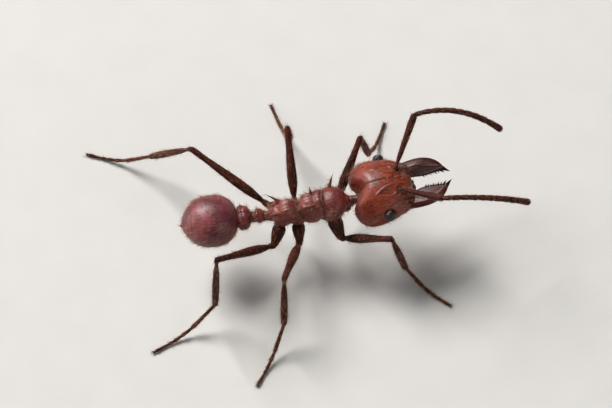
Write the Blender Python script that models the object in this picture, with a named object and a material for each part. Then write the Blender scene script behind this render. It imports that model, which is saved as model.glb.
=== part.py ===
"""Leafcutter ant (genus Atta), a forager of the middle size, still, in mid-stride with its head raised.

Metres, +Z up, +X towards the head and +Y to the ant's left. The floor is z = 0, and the ant stands on the
ends of its six tarsi. Sizes are in millimetres times MM. Limbs are modelled as tubes of one diameter, which
is more than the real width of the thin ones; their lengths and their places are the real ones.
"""

import math
from bisect import bisect_right

import bmesh
import bpy
from mathutils import Matrix, Vector

MM = 0.001
UP = Vector((0, 0, 1))

# Between neighbouring pieces, the radius of the limbs, and the distance under which two points are one.
GAP = 0.02 * MM
LIMB_RADIUS = 0.25 * MM
WELD = 1e-8
SHARP_EDGE = math.radians(40)
ROUND_END_ANGLES = (math.radians(20), math.radians(45), math.radians(70))

# Head, in its own frame: origin at its middle, +X to the mouth.
HEAD_LENGTH = 2.35 * MM
HEAD_WIDTH = 2.5 * MM
HEAD_RISE = 0.92 * MM
HEAD_DROP = 0.72 * MM
HEAD_TAPER = 0.13
HEAD_SLOPE = 0.20
HEAD_SQUARENESS = 2.6
HEAD_SIDE_SQUARENESS = 2.2
NOTCH_DEPTH = 0.36 * MM
NOTCH_WIDTH = 0.42 * MM
FURROW_DEPTH = 0.20 * MM
FRONTAL_LOBE = 0.09 * MM
HEAD_PITCH = math.radians(12)
HEAD_YAW = math.radians(4)
NECK_AT = Vector((2.03, 0, 2.74)) * MM
NECK_IN_HEAD = Vector((-0.80, 0, -0.06)) * MM
OCCIPITAL_SPINE_TOWARDS = Vector((-0.80, 0.48, 0.36))
OCCIPITAL_SPINE_WAY = (-0.72, 0.42, 0.55)
OCCIPITAL_SPINE_LENGTH = 0.22 * MM
OCCIPITAL_SPINE_RADIUS = 0.09 * MM

EYE_RADIUS = 0.21 * MM
EYE_BULGE = 0.17 * MM
EYE_TOWARDS = Vector((0.16, 0.95, 0.27))

MANDIBLE_LENGTH = 1.45 * MM
MANDIBLE_THICKNESS = 0.46 * MM
MANDIBLE_TEETH = 9
MANDIBLE_GAPE = math.radians(6)
MANDIBLE_AT = Vector((0.98, 0.63, -0.14)) * MM

# Each antenna: turn outwards and rise of its scape, both from the head's long axis. The flagellum's bend and
# tip are given from the elbow, for the left side, as shares of its length.
SCAPE_LENGTH = 2.15 * MM
SCAPE_RADII = (0.25, 0.25, 0.25, 0.26)
FLAGELLUM_LENGTH = 3.3 * MM
FLAGELLUM_BEND = (0.50, 0.07, 0.05)
FLAGELLUM_TIP = (0.88, -0.05, -0.42)
ANTENNA_AT = Vector((0.70, 0.36, 0.50)) * MM
ANTENNA_POSE = {
    "left": (math.radians(48), math.radians(26)),
    "right": (math.radians(39), math.radians(19)),
}

# Sections of the body: share of the piece's length from its front, half width, top and bottom.
THORAX_FRONT = 2.10 * MM
THORAX_BACK = -1.27 * MM
THORAX_SECTIONS = (
    (0.00, 0.25, 2.99, 2.49),
    (0.15, 0.27, 3.00, 2.47),
    (0.23, 0.47, 3.13, 2.33),
    (0.33, 0.66, 3.27, 2.16),
    (0.45, 0.63, 3.31, 2.06),
    (0.58, 0.50, 3.23, 2.02),
    (0.68, 0.42, 2.96, 2.02),
    (0.78, 0.46, 3.04, 2.06),
    (0.90, 0.42, 2.93, 2.12),
    (1.00, 0.24, 2.60, 2.24),
)
PETIOLE_FRONT = -1.27 * MM
PETIOLE_BACK = -1.86 * MM
PETIOLE_SECTIONS = (
    (0.00, 0.19, 2.55, 2.24),
    (0.35, 0.23, 2.64, 2.18),
    (0.70, 0.31, 2.80, 2.16),
    (1.00, 0.25, 2.68, 2.24),
)
POSTPETIOLE_FRONT = -1.86 * MM
POSTPETIOLE_BACK = -2.44 * MM
POSTPETIOLE_SECTIONS = (
    (0.00, 0.27, 2.68, 2.22),
    (0.40, 0.46, 2.88, 2.10),
    (0.75, 0.52, 2.93, 2.08),
    (1.00, 0.44, 2.86, 2.16),
)
GASTER_MIDDLE = Vector((-3.42, 0, 2.55)) * MM
GASTER_HALF = Vector((1.04, 0.97, 0.87)) * MM
GASTER_TIP_AT = -4.02 * MM

# Spines of the thorax, for the left side: foot, direction, length and radius of the foot.
SPINES = (
    ((0.98, 0.46, 3.08), (0.30, 0.62, 0.72), 0.52, 0.12),
    ((1.05, 0.58, 2.42), (0.45, 0.75, -0.48), 0.24, 0.09),
    ((0.30, 0.30, 3.20), (0.05, 0.45, 0.88), 0.26, 0.10),
    ((-0.85, 0.27, 2.88), (-0.72, 0.38, 0.58), 0.56, 0.12),
)

# Legs, for the left side: upper end and direction of the coxa, its radius, and the lengths of the parts.
# FEET holds where each tarsus ends, and ANKLE_RISE how high it starts.
LEGS = {
    "fore": ((1.00, 0.36, 2.25), (0.20, 0.42, -0.88), 0.30, 0.95, 2.50, 1.95, 2.00),
    "mid": ((-0.28, 0.35, 2.16), (-0.05, 0.62, -0.78), 0.27, 0.72, 2.75, 2.20, 2.30),
    "hind": ((-0.92, 0.34, 2.20), (-0.40, 0.60, -0.69), 0.28, 0.80, 3.50, 2.90, 2.75),
}
FEET = {
    ("fore", "left"): (3.30, 4.40),
    ("fore", "right"): (4.65, -3.25),
    ("mid", "left"): (-0.70, 5.80),
    ("mid", "right"): (-2.40, -5.40),
    ("hind", "left"): (-7.60, 4.80),
    ("hind", "right"): (-5.90, -3.60),
}
ANKLE_RISE = {"fore": 0.95, "mid": 1.05, "hind": 1.15}
TARSUS_SET = {"fore": math.radians(6), "mid": math.radians(10), "hind": math.radians(8)}
SOLE_DEPTH = 0.04 * MM
SOLE_SHARE = 0.42

# Radii along the leg's parts in millimetres, at even steps from the body; the coxa starts with its own.
COXA_END_RADIUS = 0.26
FEMUR_RADII = (0.25, 0.27, 0.29, 0.27, 0.25)
TIBIA_RADII = (0.25, 0.25, 0.26, 0.26)
SIDES = {"left": 1, "right": -1}

# Colour (red, green and blue, linear) and roughness.
FINISHES = {
    "head": ((0.27, 0.047, 0.018), 0.38),
    "thorax": ((0.22, 0.047, 0.033), 0.39),
    "gaster": ((0.21, 0.053, 0.056), 0.40),
    "legs": ((0.060, 0.014, 0.008), 0.70),
    "mandibles": ((0.064, 0.014, 0.008), 0.36),
    "eyes": ((0.006, 0.005, 0.005), 0.16),
}


def collection_named(name):
    collection = bpy.data.collections.new(name)
    bpy.context.scene.collection.children.link(collection)
    return collection


def finish_named(name):
    """A material with this finish's colour and roughness, made once."""
    if name in bpy.data.materials:
        return bpy.data.materials[name]
    colour, roughness = FINISHES[name]
    material = bpy.data.materials.new(name)
    material.use_nodes = True
    shader = material.node_tree.nodes["Principled BSDF"]
    shader.inputs["Base Color"].default_value = (*colour, 1)
    shader.inputs["Roughness"].default_value = roughness
    shader.inputs["Metallic"].default_value = 0
    return material


def smooth_row(table, share):
    """The table's row at this share of the length, on a smooth curve through its rows."""
    stations = [row[0] for row in table]
    i = min(max(bisect_right(stations, share) - 1, 0), len(table) - 2)
    start, end = table[i], table[i + 1]
    before, after = table[max(i - 1, 0)], table[min(i + 2, len(table) - 1)]
    span = end[0] - start[0]
    u = (share - start[0]) / span
    row = []
    for a, b, c, d in zip(before[1:], start[1:], end[1:], after[1:]):
        slope_in = (c - a) / (end[0] - before[0]) * span
        slope_out = (d - b) / (after[0] - start[0]) * span
        row.append(
            b * (2 * u**3 - 3 * u**2 + 1)
            + slope_in * (u**3 - 2 * u**2 + u)
            + c * (3 * u**2 - 2 * u**3)
            + slope_out * (u**3 - u**2)
        )
    return row


def ease(value, low, high):
    """0 below low, 1 above high and a smooth step between them; low may be the greater one."""
    u = min(max((value - low) / (high - low), 0), 1)
    return u * u * (3 - 2 * u)


def hump(distance, width):
    """A bell of height 1 and of this width."""
    return math.exp(-((distance / width) ** 2))


def around_axis(point):
    """Which way a point of the unit sphere lies from the X axis, as (y, z)."""
    ring = math.hypot(point.y, point.z)
    return (point.y / ring, point.z / ring) if ring > WELD else (0.0, 0.0)


def rounded(share, power):
    """Half width of an oval of half length 1 at this share, squarer as the power grows."""
    return max(1 - abs(share) ** power, 0) ** (1 / power)


class Ant:
    """Holds the collections and the frame empty that each piece is parented to."""

    def __init__(self):
        self.pieces = collection_named("leafcutter_ant")
        self.cutters = collection_named("cutters")
        self.frame = bpy.data.objects.new("ant_frame", None)
        self.pieces.objects.link(self.frame)

    def piece(self, name, shape, finish, place=None):
        """One named object from a bmesh, in this finish, at this place in the ant's frame."""
        mesh = bpy.data.meshes.new(name)
        shape.to_mesh(mesh)
        shape.free()
        mesh.shade_smooth()
        mesh.set_sharp_from_angle(angle=SHARP_EDGE)
        mesh.materials.append(finish_named(finish))
        thing = bpy.data.objects.new(name, mesh)
        thing.parent = self.frame
        thing.matrix_basis = place or Matrix()
        self.pieces.objects.link(thing)
        return thing

    def helper(self, thing):
        """Makes an object a cutter: out of the render and drawn as wire."""
        thing.hide_render = True
        thing.display_type = "WIRE"
        for collection in thing.users_collection:
            collection.objects.unlink(thing)
        self.cutters.objects.link(thing)
        return thing

    def grown(self, thing, name):
        """A cutter in the shape of this object, larger by the gap all over."""
        shape = bmesh.new()
        shape.from_mesh(thing.data)
        shape.normal_update()
        for vertex in shape.verts:
            vertex.co += vertex.normal * GAP
        mesh = bpy.data.meshes.new(name)
        shape.to_mesh(mesh)
        shape.free()
        copy = bpy.data.objects.new(name, mesh)
        copy.parent = self.frame
        copy.matrix_basis = thing.matrix_basis
        self.pieces.objects.link(copy)
        return self.helper(copy)


def combine(thing, other, operation):
    modifier = thing.modifiers.new(f"{operation} {other.name}".lower(), "BOOLEAN")
    modifier.operation = operation
    modifier.object = other
    modifier.solver = "EXACT"


def ball(shape, sides, rings):
    """A sphere with its poles on the X axis, each point of which is moved to shape(point)."""
    mesh = bmesh.new()
    turn = Matrix.Rotation(math.pi / 2, 4, "Y")
    bmesh.ops.create_uvsphere(mesh, u_segments=sides, v_segments=rings, radius=1, matrix=turn)
    for vertex in mesh.verts:
        vertex.co = shape(vertex.co.normalized())
    return mesh


def cut_off(mesh, at, outwards):
    """Cuts the mesh at a plane, takes away what lies outwards of it and closes the cut."""
    geometry = mesh.verts[:] + mesh.edges[:] + mesh.faces[:]
    bmesh.ops.bisect_plane(
        mesh, geom=geometry, dist=WELD, plane_co=at, plane_no=outwards, clear_outer=True
    )
    rim = [edge for edge in mesh.edges if edge.is_boundary]
    bmesh.ops.holes_fill(mesh, edges=rim, sides=0)
    return mesh


def loft(front, back, sections, sides, rings):
    """A body piece between two planes, with a flat gap at each, from its table of sections.

    The ball's first and last rings are the two ends, and its poles close them in the same planes.
    """

    def shape(point):
        angle = math.acos(min(max(point.x, -1), 1)) / math.pi
        share = min(max((angle * rings - 1) / (rings - 2), 0), 1)
        half_width, top, bottom = (value * MM for value in smooth_row(sections, share))
        y, z = around_axis(point)
        x = front + (back - front) * share
        return Vector((x, half_width * y, (top + bottom) / 2 + (top - bottom) / 2 * z))

    mesh = ball(shape, sides, rings)
    cut_off(mesh, (front - GAP / 2, 0, 0), (1, 0, 0))
    return cut_off(mesh, (back + GAP / 2, 0, 0), (-1, 0, 0))


def tube(points, radii):
    """A tube through the points, from a bevelled curve, as a closed bmesh in the frame of the points."""
    curve = bpy.data.curves.new("tube", "CURVE")
    curve.dimensions = "3D"
    curve.bevel_depth = MM
    curve.bevel_resolution = 2
    curve.use_fill_caps = True
    spline = curve.splines.new("POLY")
    spline.points.add(len(points) - 1)
    for knot, point, radius in zip(spline.points, points, radii):
        knot.co = (*point, 1)
        knot.radius = radius / MM
    return mesh_of_curve(curve)


def mesh_of_curve(curve):
    """The closed bmesh of a curve, whose caps are welded on; the curve is removed."""
    thing = bpy.data.objects.new("curve", curve)
    bpy.context.scene.collection.objects.link(thing)
    graph = bpy.context.evaluated_depsgraph_get()
    data = bpy.data.meshes.new_from_object(thing.evaluated_get(graph))
    mesh = bmesh.new()
    mesh.from_mesh(data)
    bmesh.ops.remove_doubles(mesh, verts=mesh.verts, dist=WELD)
    bmesh.ops.recalc_face_normals(mesh, faces=mesh.faces)
    bpy.data.objects.remove(thing)
    bpy.data.curves.remove(curve)
    bpy.data.meshes.remove(data)
    return mesh


def limb(points, radii):
    """A tube with a round end about its first and its last point."""
    first, last = points[0] - points[1], points[-1] - points[-2]
    first.normalize()
    last.normalize()
    head, tail = [], []
    for angle in ROUND_END_ANGLES:
        head.append((points[0] + first * radii[0] * math.cos(angle), radii[0] * math.sin(angle)))
        tail.insert(0, (points[-1] + last * radii[-1] * math.cos(angle), radii[-1] * math.sin(angle)))
    knots = head + list(zip(points, radii)) + tail
    return tube([knot[0] for knot in knots], [knot[1] for knot in knots])


def straight_limb(start, end, shape):
    """A limb between two joints; shape holds its radii, in millimetres, at even steps."""
    steps = len(shape) - 1
    points = [start.lerp(end, i / steps) for i in range(steps + 1)]
    return limb(points, [value * MM for value in shape])


def curved_limb(start, bend, end, steps):
    """A limb along the curve that leaves start towards bend and comes to end from there."""
    points = []
    for i in range(steps + 1):
        u = i / steps
        points.append(start * (1 - u) ** 2 + bend * 2 * u * (1 - u) + end * u**2)
    return limb(points, [LIMB_RADIUS] * len(points))


def part_at(before, after, joint, inwards, outwards):
    """Cuts two limbs that share a joint at its bisecting plane, half a gap each."""
    normal = (inwards.normalized() + outwards.normalized()).normalized()
    cut_off(before, joint - normal * GAP / 2, normal)
    cut_off(after, joint + normal * GAP / 2, -normal)


def head_point(point):
    """The head: a heart from above, with two lobes behind and a furrow between them."""
    share = point.x
    y_way, z_way = around_axis(point)
    y = HEAD_WIDTH / 2 * rounded(share, HEAD_SQUARENESS) * (1 - HEAD_TAPER * share) * y_way
    reach = HEAD_RISE if z_way > 0 else HEAD_DROP
    z = reach * rounded(share, HEAD_SIDE_SQUARENESS) * (1 - HEAD_SLOPE * share) * z_way
    behind = ease(share, -0.05, -0.95)
    midline = hump(y, NOTCH_WIDTH)
    x = HEAD_LENGTH / 2 * share + NOTCH_DEPTH * midline * behind
    if z_way > 0:
        z -= FURROW_DEPTH * midline * behind * z_way
        beside = hump(abs(y) - ANTENNA_AT.y * 0.7, 0.2 * MM) * hump(x - ANTENNA_AT.x * 0.85, 0.4 * MM)
        z += FRONTAL_LOBE * beside
    return Vector((x, y, z))


def head_place():
    turn = Matrix.Rotation(HEAD_YAW, 4, "Z") @ Matrix.Rotation(-HEAD_PITCH, 4, "Y")
    return Matrix.Translation(NECK_AT) @ turn @ Matrix.Translation(-NECK_IN_HEAD)


def spine(foot, way, length, radius):
    """A pointed cone whose foot is sunk by its own radius into what it grows from."""
    mesh = bmesh.new()
    way = Vector(way).normalized()
    turn = way.to_track_quat("Z", "Y").to_matrix().to_4x4()
    place = Matrix.Translation(Vector(foot) + way * (length - radius) / 2) @ turn
    bmesh.ops.create_cone(
        mesh,
        cap_ends=True,
        segments=8,
        radius1=radius,
        radius2=radius * 0.12,
        depth=length + radius,
        matrix=place,
    )
    return mesh


def add_spines(ant, host, name, spines):
    """Joins spines to their host; each is given for the left side and mirrored to the right."""
    together = bmesh.new()
    for foot, way, length, radius in spines:
        for side in SIDES.values():
            mirrored = Vector((1, side, 1))
            one = spine(Vector(foot) * mirrored, Vector(way) * mirrored, length, radius)
            data = bpy.data.meshes.new("spine")
            one.to_mesh(data)
            one.free()
            together.from_mesh(data)
            bpy.data.meshes.remove(data)
    joined = ant.helper(ant.piece(name, together, "thorax", host.matrix_basis))
    combine(host, joined, "UNION")


def make_head(ant):
    place = head_place()
    head = ant.piece("head", ball(head_point, 32, 22), "head", place)
    clearance = ant.grown(head, "head_clearance")
    lobe = head_point(OCCIPITAL_SPINE_TOWARDS.normalized())
    spines = [(lobe, OCCIPITAL_SPINE_WAY, OCCIPITAL_SPINE_LENGTH, OCCIPITAL_SPINE_RADIUS)]
    add_spines(ant, head, "occipital_spines", spines)
    for side, sign in SIDES.items():
        make_eye(ant, side, sign, place, clearance)
        make_mandible(ant, side, sign, place, clearance)
        make_antenna(ant, side, sign, place, clearance)
    return clearance


def make_eye(ant, side, sign, place, clearance):
    """A compound eye, a low ball sunk into the side of the head."""
    towards = Vector((EYE_TOWARDS.x, EYE_TOWARDS.y * sign, EYE_TOWARDS.z)).normalized()
    seat = head_point(towards)
    turn = towards.to_track_quat("Z", "Y").to_matrix().to_4x4()
    half = Vector((EYE_RADIUS, EYE_RADIUS, EYE_BULGE))
    mesh = ball(lambda point: point * half, 14, 9)
    eye = ant.piece(f"eye_{side}", mesh, "eyes", place @ Matrix.Translation(seat) @ turn)
    combine(eye, clearance, "DIFFERENCE")


def mandible_outline():
    """The left mandible from above, base at x = 0, with its teeth on the side of -Y."""
    base_outer, base_inner = Vector((-0.30, 0.30)), Vector((-0.30, -0.28))
    tip, basal_angle = Vector((MANDIBLE_LENGTH / MM, -0.58)), Vector((0.52, -0.56))
    bow = Vector((1.15, 0.55))
    outline = [base_inner]
    for i in range(8):
        u = i / 7
        outline.append(base_outer * (1 - u) ** 2 + bow * 2 * u * (1 - u) + tip * u**2)
    inwards = Vector((-(tip - basal_angle).y, (tip - basal_angle).x)).normalized()
    for i in range(1, MANDIBLE_TEETH):
        start = tip.lerp(basal_angle, i / MANDIBLE_TEETH)
        depth = 0.10 - 0.05 * i / MANDIBLE_TEETH
        outline.append(start + inwards * depth - (tip - basal_angle) * 0.03)
        outline.append(start)
    outline.append(basal_angle)
    return [point * MM for point in outline]


def make_mandible(ant, side, sign, place, clearance):
    """A jaw: its outline extruded, thinner and lower towards the tip."""
    curve = bpy.data.curves.new("mandible", "CURVE")
    curve.dimensions = "2D"
    curve.fill_mode = "BOTH"
    curve.extrude = MANDIBLE_THICKNESS / 2
    outline = mandible_outline()
    spline = curve.splines.new("POLY")
    spline.points.add(len(outline) - 1)
    spline.use_cyclic_u = True
    for knot, point in zip(spline.points, outline):
        knot.co = (point.x, point.y * sign, 0, 1)
    mesh = mesh_of_curve(curve)
    for vertex in mesh.verts:
        forward = max(vertex.co.x, 0) / MANDIBLE_LENGTH
        vertex.co.z *= 1 - 0.68 * forward
        vertex.co.z -= 0.18 * MM * forward**2
    base = Vector((MANDIBLE_AT.x, MANDIBLE_AT.y * sign, MANDIBLE_AT.z))
    hinge = place @ Matrix.Translation(base) @ Matrix.Rotation(MANDIBLE_GAPE * sign, 4, "Z")
    mandible = ant.piece(f"mandible_{side}", mesh, "mandibles", hinge)
    combine(mandible, clearance, "DIFFERENCE")


def make_antenna(ant, side, sign, place, clearance):
    """An elbowed antenna: a straight scape, and a flagellum that runs forward and droops."""
    turn_out, rise = ANTENNA_POSE[side]
    root = place @ Vector((ANTENNA_AT.x, ANTENNA_AT.y * sign, ANTENNA_AT.z))
    level = math.cos(rise)
    way = Vector((math.cos(turn_out) * level, sign * math.sin(turn_out) * level, math.sin(rise)))
    scape_way = place.to_3x3() @ way
    elbow = root + scape_way * SCAPE_LENGTH
    mirrored = Vector((1, sign, 1)) * FLAGELLUM_LENGTH
    bend = elbow + Vector(FLAGELLUM_BEND) * mirrored
    tip = elbow + Vector(FLAGELLUM_TIP) * mirrored
    scape = straight_limb(root, elbow, SCAPE_RADII)
    flagellum = curved_limb(elbow, bend, tip, 9)
    part_at(scape, flagellum, elbow, scape_way, bend - elbow)
    scape = ant.piece(f"antenna_{side}_scape", scape, "legs")
    combine(scape, clearance, "DIFFERENCE")
    ant.piece(f"antenna_{side}_flagellum", flagellum, "legs")


def make_thorax(ant, head_clearance):
    trunk = loft(THORAX_FRONT, THORAX_BACK, THORAX_SECTIONS, 24, 24)
    thorax = ant.piece("thorax", trunk, "thorax")
    clearance = ant.grown(thorax, "thorax_clearance")
    spines = []
    for foot, way, length, radius in SPINES:
        spines.append((Vector(foot) * MM, way, length * MM, radius * MM))
    add_spines(ant, thorax, "thorax_spines", spines)
    combine(thorax, head_clearance, "DIFFERENCE")
    return clearance


def make_waist(ant):
    petiole = loft(PETIOLE_FRONT, PETIOLE_BACK, PETIOLE_SECTIONS, 16, 8)
    ant.piece("petiole", petiole, "thorax")
    postpetiole = loft(POSTPETIOLE_FRONT, POSTPETIOLE_BACK, POSTPETIOLE_SECTIONS, 18, 8)
    ant.piece("postpetiole", postpetiole, "thorax")


def gaster_point(point):
    """An egg that is a little squarer in front, and whose last plates step in."""
    y_way, z_way = around_axis(point)
    section = rounded(point.x, 2.3 if point.x > 0 else 2.0) * (1 + 0.05 * point.x)
    steps = 1 - 0.05 * ease(point.x, -0.60, -0.64) - 0.07 * ease(point.x, -0.80, -0.84)
    x = GASTER_MIDDLE.x + GASTER_HALF.x * point.x
    y = GASTER_HALF.y * section * steps * y_way
    z = GASTER_MIDDLE.z + GASTER_HALF.z * section * steps * z_way
    return Vector((x, y, z))


def make_gaster(ant):
    first = ball(gaster_point, 26, 20)
    cut_off(first, (POSTPETIOLE_BACK - GAP / 2, 0, 0), (1, 0, 0))
    cut_off(first, (GASTER_TIP_AT + GAP / 2, 0, 0), (-1, 0, 0))
    ant.piece("gaster", first, "gaster")
    last = ball(gaster_point, 26, 28)
    cut_off(last, (GASTER_TIP_AT - GAP / 2, 0, 0), (1, 0, 0))
    ant.piece("gaster_tip", last, "gaster")


def knee_between(hip, ankle, femur, tibia):
    """The upper of the two places for a knee, in the upright plane of the hip and the ankle."""
    span = ankle - hip
    reach = span.length
    along = (femur**2 - tibia**2 + reach**2) / (2 * reach)
    way = span / reach
    rising = (UP - way * way.dot(UP)).normalized()
    return hip + way * along + rising * math.sqrt(femur**2 - along**2)


def make_leg(ant, pair, side, sign, thorax_clearance):
    """A leg from the thorax to the floor: coxa, femur with its trochanter, tibia and tarsus."""
    root, aim, radius, coxa, femur, tibia, tarsus = LEGS[pair]
    mirrored = Vector((1, sign, 1))
    hip_way = (Vector(aim) * mirrored).normalized()
    root = Vector(root) * mirrored * MM
    hip = root + hip_way * coxa * MM
    foot = Vector((*FEET[pair, side], 0)) * MM + UP * (LIMB_RADIUS - SOLE_DEPTH)
    rise = ANKLE_RISE[pair] * MM
    home = Vector((hip.x - foot.x, hip.y - foot.y, 0)).normalized()
    home.rotate(Matrix.Rotation(TARSUS_SET[pair] * sign, 3, "Z"))
    ankle = foot + home * math.sqrt((tarsus * MM) ** 2 - rise**2)
    ankle.z = rise
    knee = knee_between(hip, ankle, femur * MM, tibia * MM)
    sole = foot + home * SOLE_SHARE * tarsus * MM

    coxa_tube = straight_limb(root, hip, (radius, radius, COXA_END_RADIUS))
    femur_tube = straight_limb(hip, knee, FEMUR_RADII)
    tibia_tube = straight_limb(knee, ankle, TIBIA_RADII)
    tarsus_tube = curved_limb(ankle, sole, foot, 8)
    part_at(coxa_tube, femur_tube, hip, hip - root, knee - hip)
    part_at(femur_tube, tibia_tube, knee, knee - hip, ankle - knee)
    part_at(tibia_tube, tarsus_tube, ankle, ankle - knee, sole - ankle)
    cut_off(tarsus_tube, (0, 0, 0), (0, 0, -1))

    name = f"leg_{pair}_{side}"
    coxa_piece = ant.piece(f"{name}_coxa", coxa_tube, "legs")
    combine(coxa_piece, thorax_clearance, "DIFFERENCE")
    ant.piece(f"{name}_femur", femur_tube, "legs")
    ant.piece(f"{name}_tibia", tibia_tube, "legs")
    ant.piece(f"{name}_tarsus", tarsus_tube, "legs")


def centre_on_origin(ant):
    """Moves the frame so that the middle of the ant's box is over the origin; its soles are at z = 0."""
    bpy.context.view_layer.update()
    graph = bpy.context.evaluated_depsgraph_get()
    corners = []
    for thing in ant.pieces.objects:
        if thing.type == "MESH":
            data = thing.evaluated_get(graph)
            corners += [thing.matrix_world @ vertex.co for vertex in data.data.vertices]
    low = [min(corner[axis] for corner in corners) for axis in range(3)]
    high = [max(corner[axis] for corner in corners) for axis in range(3)]
    ant.frame.location = (-(low[0] + high[0]) / 2, -(low[1] + high[1]) / 2, 0)


def main():
    for thing in list(bpy.data.objects):
        bpy.data.objects.remove(thing, do_unlink=True)
    ant = Ant()
    head_clearance = make_head(ant)
    thorax_clearance = make_thorax(ant, head_clearance)
    make_waist(ant)
    make_gaster(ant)
    for pair in LEGS:
        for side, sign in SIDES.items():
            make_leg(ant, pair, side, sign, thorax_clearance)
    centre_on_origin(ant)


main()
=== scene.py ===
"""Leafcutter ant forager: shell plates, faceted eyes, toothed jaws, jointed legs and hairs over the solids.

The forms are shaped in millimetres and turned to metres when a piece is made. The head hangs on the boxes of
the eyes' solids, and the body with its legs on those of the thorax and the gaster. The lengths and the stance
of the limbs are the ones that their solids have.
"""

import logging
import math
from collections.abc import Callable, Sequence
from dataclasses import dataclass, field, replace
from enum import Enum
from functools import partial
from typing import ClassVar

import bpy
import numpy as np
from mathutils import Matrix, Vector


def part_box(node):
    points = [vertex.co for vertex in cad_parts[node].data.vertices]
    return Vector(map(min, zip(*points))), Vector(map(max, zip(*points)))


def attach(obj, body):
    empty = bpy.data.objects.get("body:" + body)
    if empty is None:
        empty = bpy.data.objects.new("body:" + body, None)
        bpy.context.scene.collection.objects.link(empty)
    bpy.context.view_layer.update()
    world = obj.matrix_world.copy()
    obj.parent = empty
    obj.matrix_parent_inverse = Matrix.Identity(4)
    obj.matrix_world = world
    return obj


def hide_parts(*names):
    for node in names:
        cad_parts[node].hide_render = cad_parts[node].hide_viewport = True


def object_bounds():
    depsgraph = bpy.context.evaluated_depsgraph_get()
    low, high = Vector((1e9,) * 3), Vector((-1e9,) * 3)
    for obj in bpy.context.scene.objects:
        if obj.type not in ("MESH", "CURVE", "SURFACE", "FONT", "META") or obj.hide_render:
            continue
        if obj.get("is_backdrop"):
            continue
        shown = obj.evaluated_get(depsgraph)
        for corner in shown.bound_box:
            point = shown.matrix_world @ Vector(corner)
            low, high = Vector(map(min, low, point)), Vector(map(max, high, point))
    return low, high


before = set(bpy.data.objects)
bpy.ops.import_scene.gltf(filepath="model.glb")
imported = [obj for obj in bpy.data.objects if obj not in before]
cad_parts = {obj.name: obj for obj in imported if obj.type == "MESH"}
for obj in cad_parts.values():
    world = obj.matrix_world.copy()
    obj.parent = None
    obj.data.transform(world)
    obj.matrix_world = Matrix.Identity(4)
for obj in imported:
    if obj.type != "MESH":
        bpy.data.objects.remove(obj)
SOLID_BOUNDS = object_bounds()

log = logging.getLogger("leafcutter")

MM = 0.001
BODY = "root"
TAU = 2 * math.pi

Points = np.ndarray
Place = Sequence[float]
Two = tuple[float, float]
Row = tuple[float, ...]
Rows = tuple[Row, ...]
Faces = list[tuple[int, ...]]
PerPlace = Callable[[Points], Points]
Unwrap = Callable[[Points], tuple[Points, Points]]
Socket = bpy.types.NodeSocket
Add = Callable[[str, dict], bpy.types.Node]


class Side(Enum):
    """The ant's left and right, with the sign of Y on each."""

    LEFT = 1
    RIGHT = -1

    @property
    def word(self) -> str:
        """The side's name as the nodes write it."""
        return self.name.lower()

    def place(self, left: Place) -> Points:
        """Where a place or a direction on the left lies on this side."""
        return np.array(left) * (1, self.value, 1)


class Pair(Enum):
    """The three pairs of legs, from the head backwards."""

    FORE = "fore"
    MID = "mid"
    HIND = "hind"


class Slot(Enum):
    """The record's slots, one for each region of the ant."""

    HEAD = "head"
    THORAX = "thorax"
    GASTER = "gaster"
    LEGS = "legs"
    MANDIBLES = "mandibles"
    EYES = "eyes"


# ---------------- small mathematics


def unit(vectors: Points) -> Points:
    """One vector, or many along the last axis, at length 1."""
    length = np.linalg.norm(vectors, axis=-1, keepdims=True)
    return vectors / np.maximum(length, 1e-9)


def tilt(degrees: float, axis: str) -> Matrix:
    """A turn about one axis."""
    return Matrix.Rotation(math.radians(degrees), 4, axis)


def ease(value: Points, low: float, high: float) -> Points:
    """A smooth step from 0 where the value is low to 1 where it is high; low may be the greater one."""
    share = np.clip((np.asarray(value, float) - low) / (high - low), 0, 1)
    return share * share * (3 - 2 * share)


def hump(distance: Points, width: float) -> Points:
    """A bell of height 1 and of this width."""
    return np.exp(-((np.asarray(distance, float) / width) ** 2))


def rounded(share: Points, power: float) -> Points:
    """Half width, at each share of the half length, of an oval that grows squarer with the power."""
    return np.maximum(1 - np.abs(share) ** power, 0) ** (1 / power)


def smooth_table(rows: Sequence[Row], share: Points) -> Points:
    """Reads a table of sections along a smooth curve through its rows.

    Args:
        rows: Rows that start with their share of the length.
        share: Where the table is read.

    Returns:
        One row of the other columns for each share.
    """
    table = np.array(rows, float)
    at, values = table[:, 0], table[:, 1:]
    slopes = np.gradient(values, at, axis=0)
    share = np.clip(share, at[0], at[-1])
    i = np.clip(np.searchsorted(at, share, side="right") - 1, 0, len(at) - 2)
    span = (at[i + 1] - at[i])[:, None]
    u = (share - at[i])[:, None] / span
    return (
        values[i] * (2 * u**3 - 3 * u**2 + 1)
        + slopes[i] * span * (u**3 - 2 * u**2 + u)
        + values[i + 1] * (3 * u**2 - 2 * u**3)
        + slopes[i + 1] * span * (u**3 - u**2)
    )


def lengths_along(points: Points) -> Points:
    """How far each point of a line is from its start, along the line."""
    return np.concatenate([[0], np.cumsum(np.linalg.norm(np.diff(points, axis=0), axis=1))])


def points_at(points: Points, distances: Points) -> Points:
    """The points of a line at these distances from its start."""
    lengths = lengths_along(points)
    return np.stack([np.interp(distances, lengths, points[:, k]) for k in range(3)], axis=1)


def even_steps(route: Sequence[Place], step: float) -> Points:
    """Points along a route of straight runs, a step apart.

    Args:
        route: The route's corners.
        step: The distance between two points.

    Returns:
        The points, with both ends among them.
    """
    corners = np.array(route, float)
    length = lengths_along(corners)[-1]
    return points_at(corners, np.linspace(0, length, max(int(length / step), 2) + 1))


def bent(start: Place, bend: Place, end: Place, steps: int = 120) -> Points:
    """Points on the curve that leaves start towards bend and comes to end from there."""
    u = np.linspace(0, 1, steps + 1)[:, None]
    return np.array(start) * (1 - u) ** 2 + np.array(bend) * 2 * u * (1 - u) + np.array(end) * u**2


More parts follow.
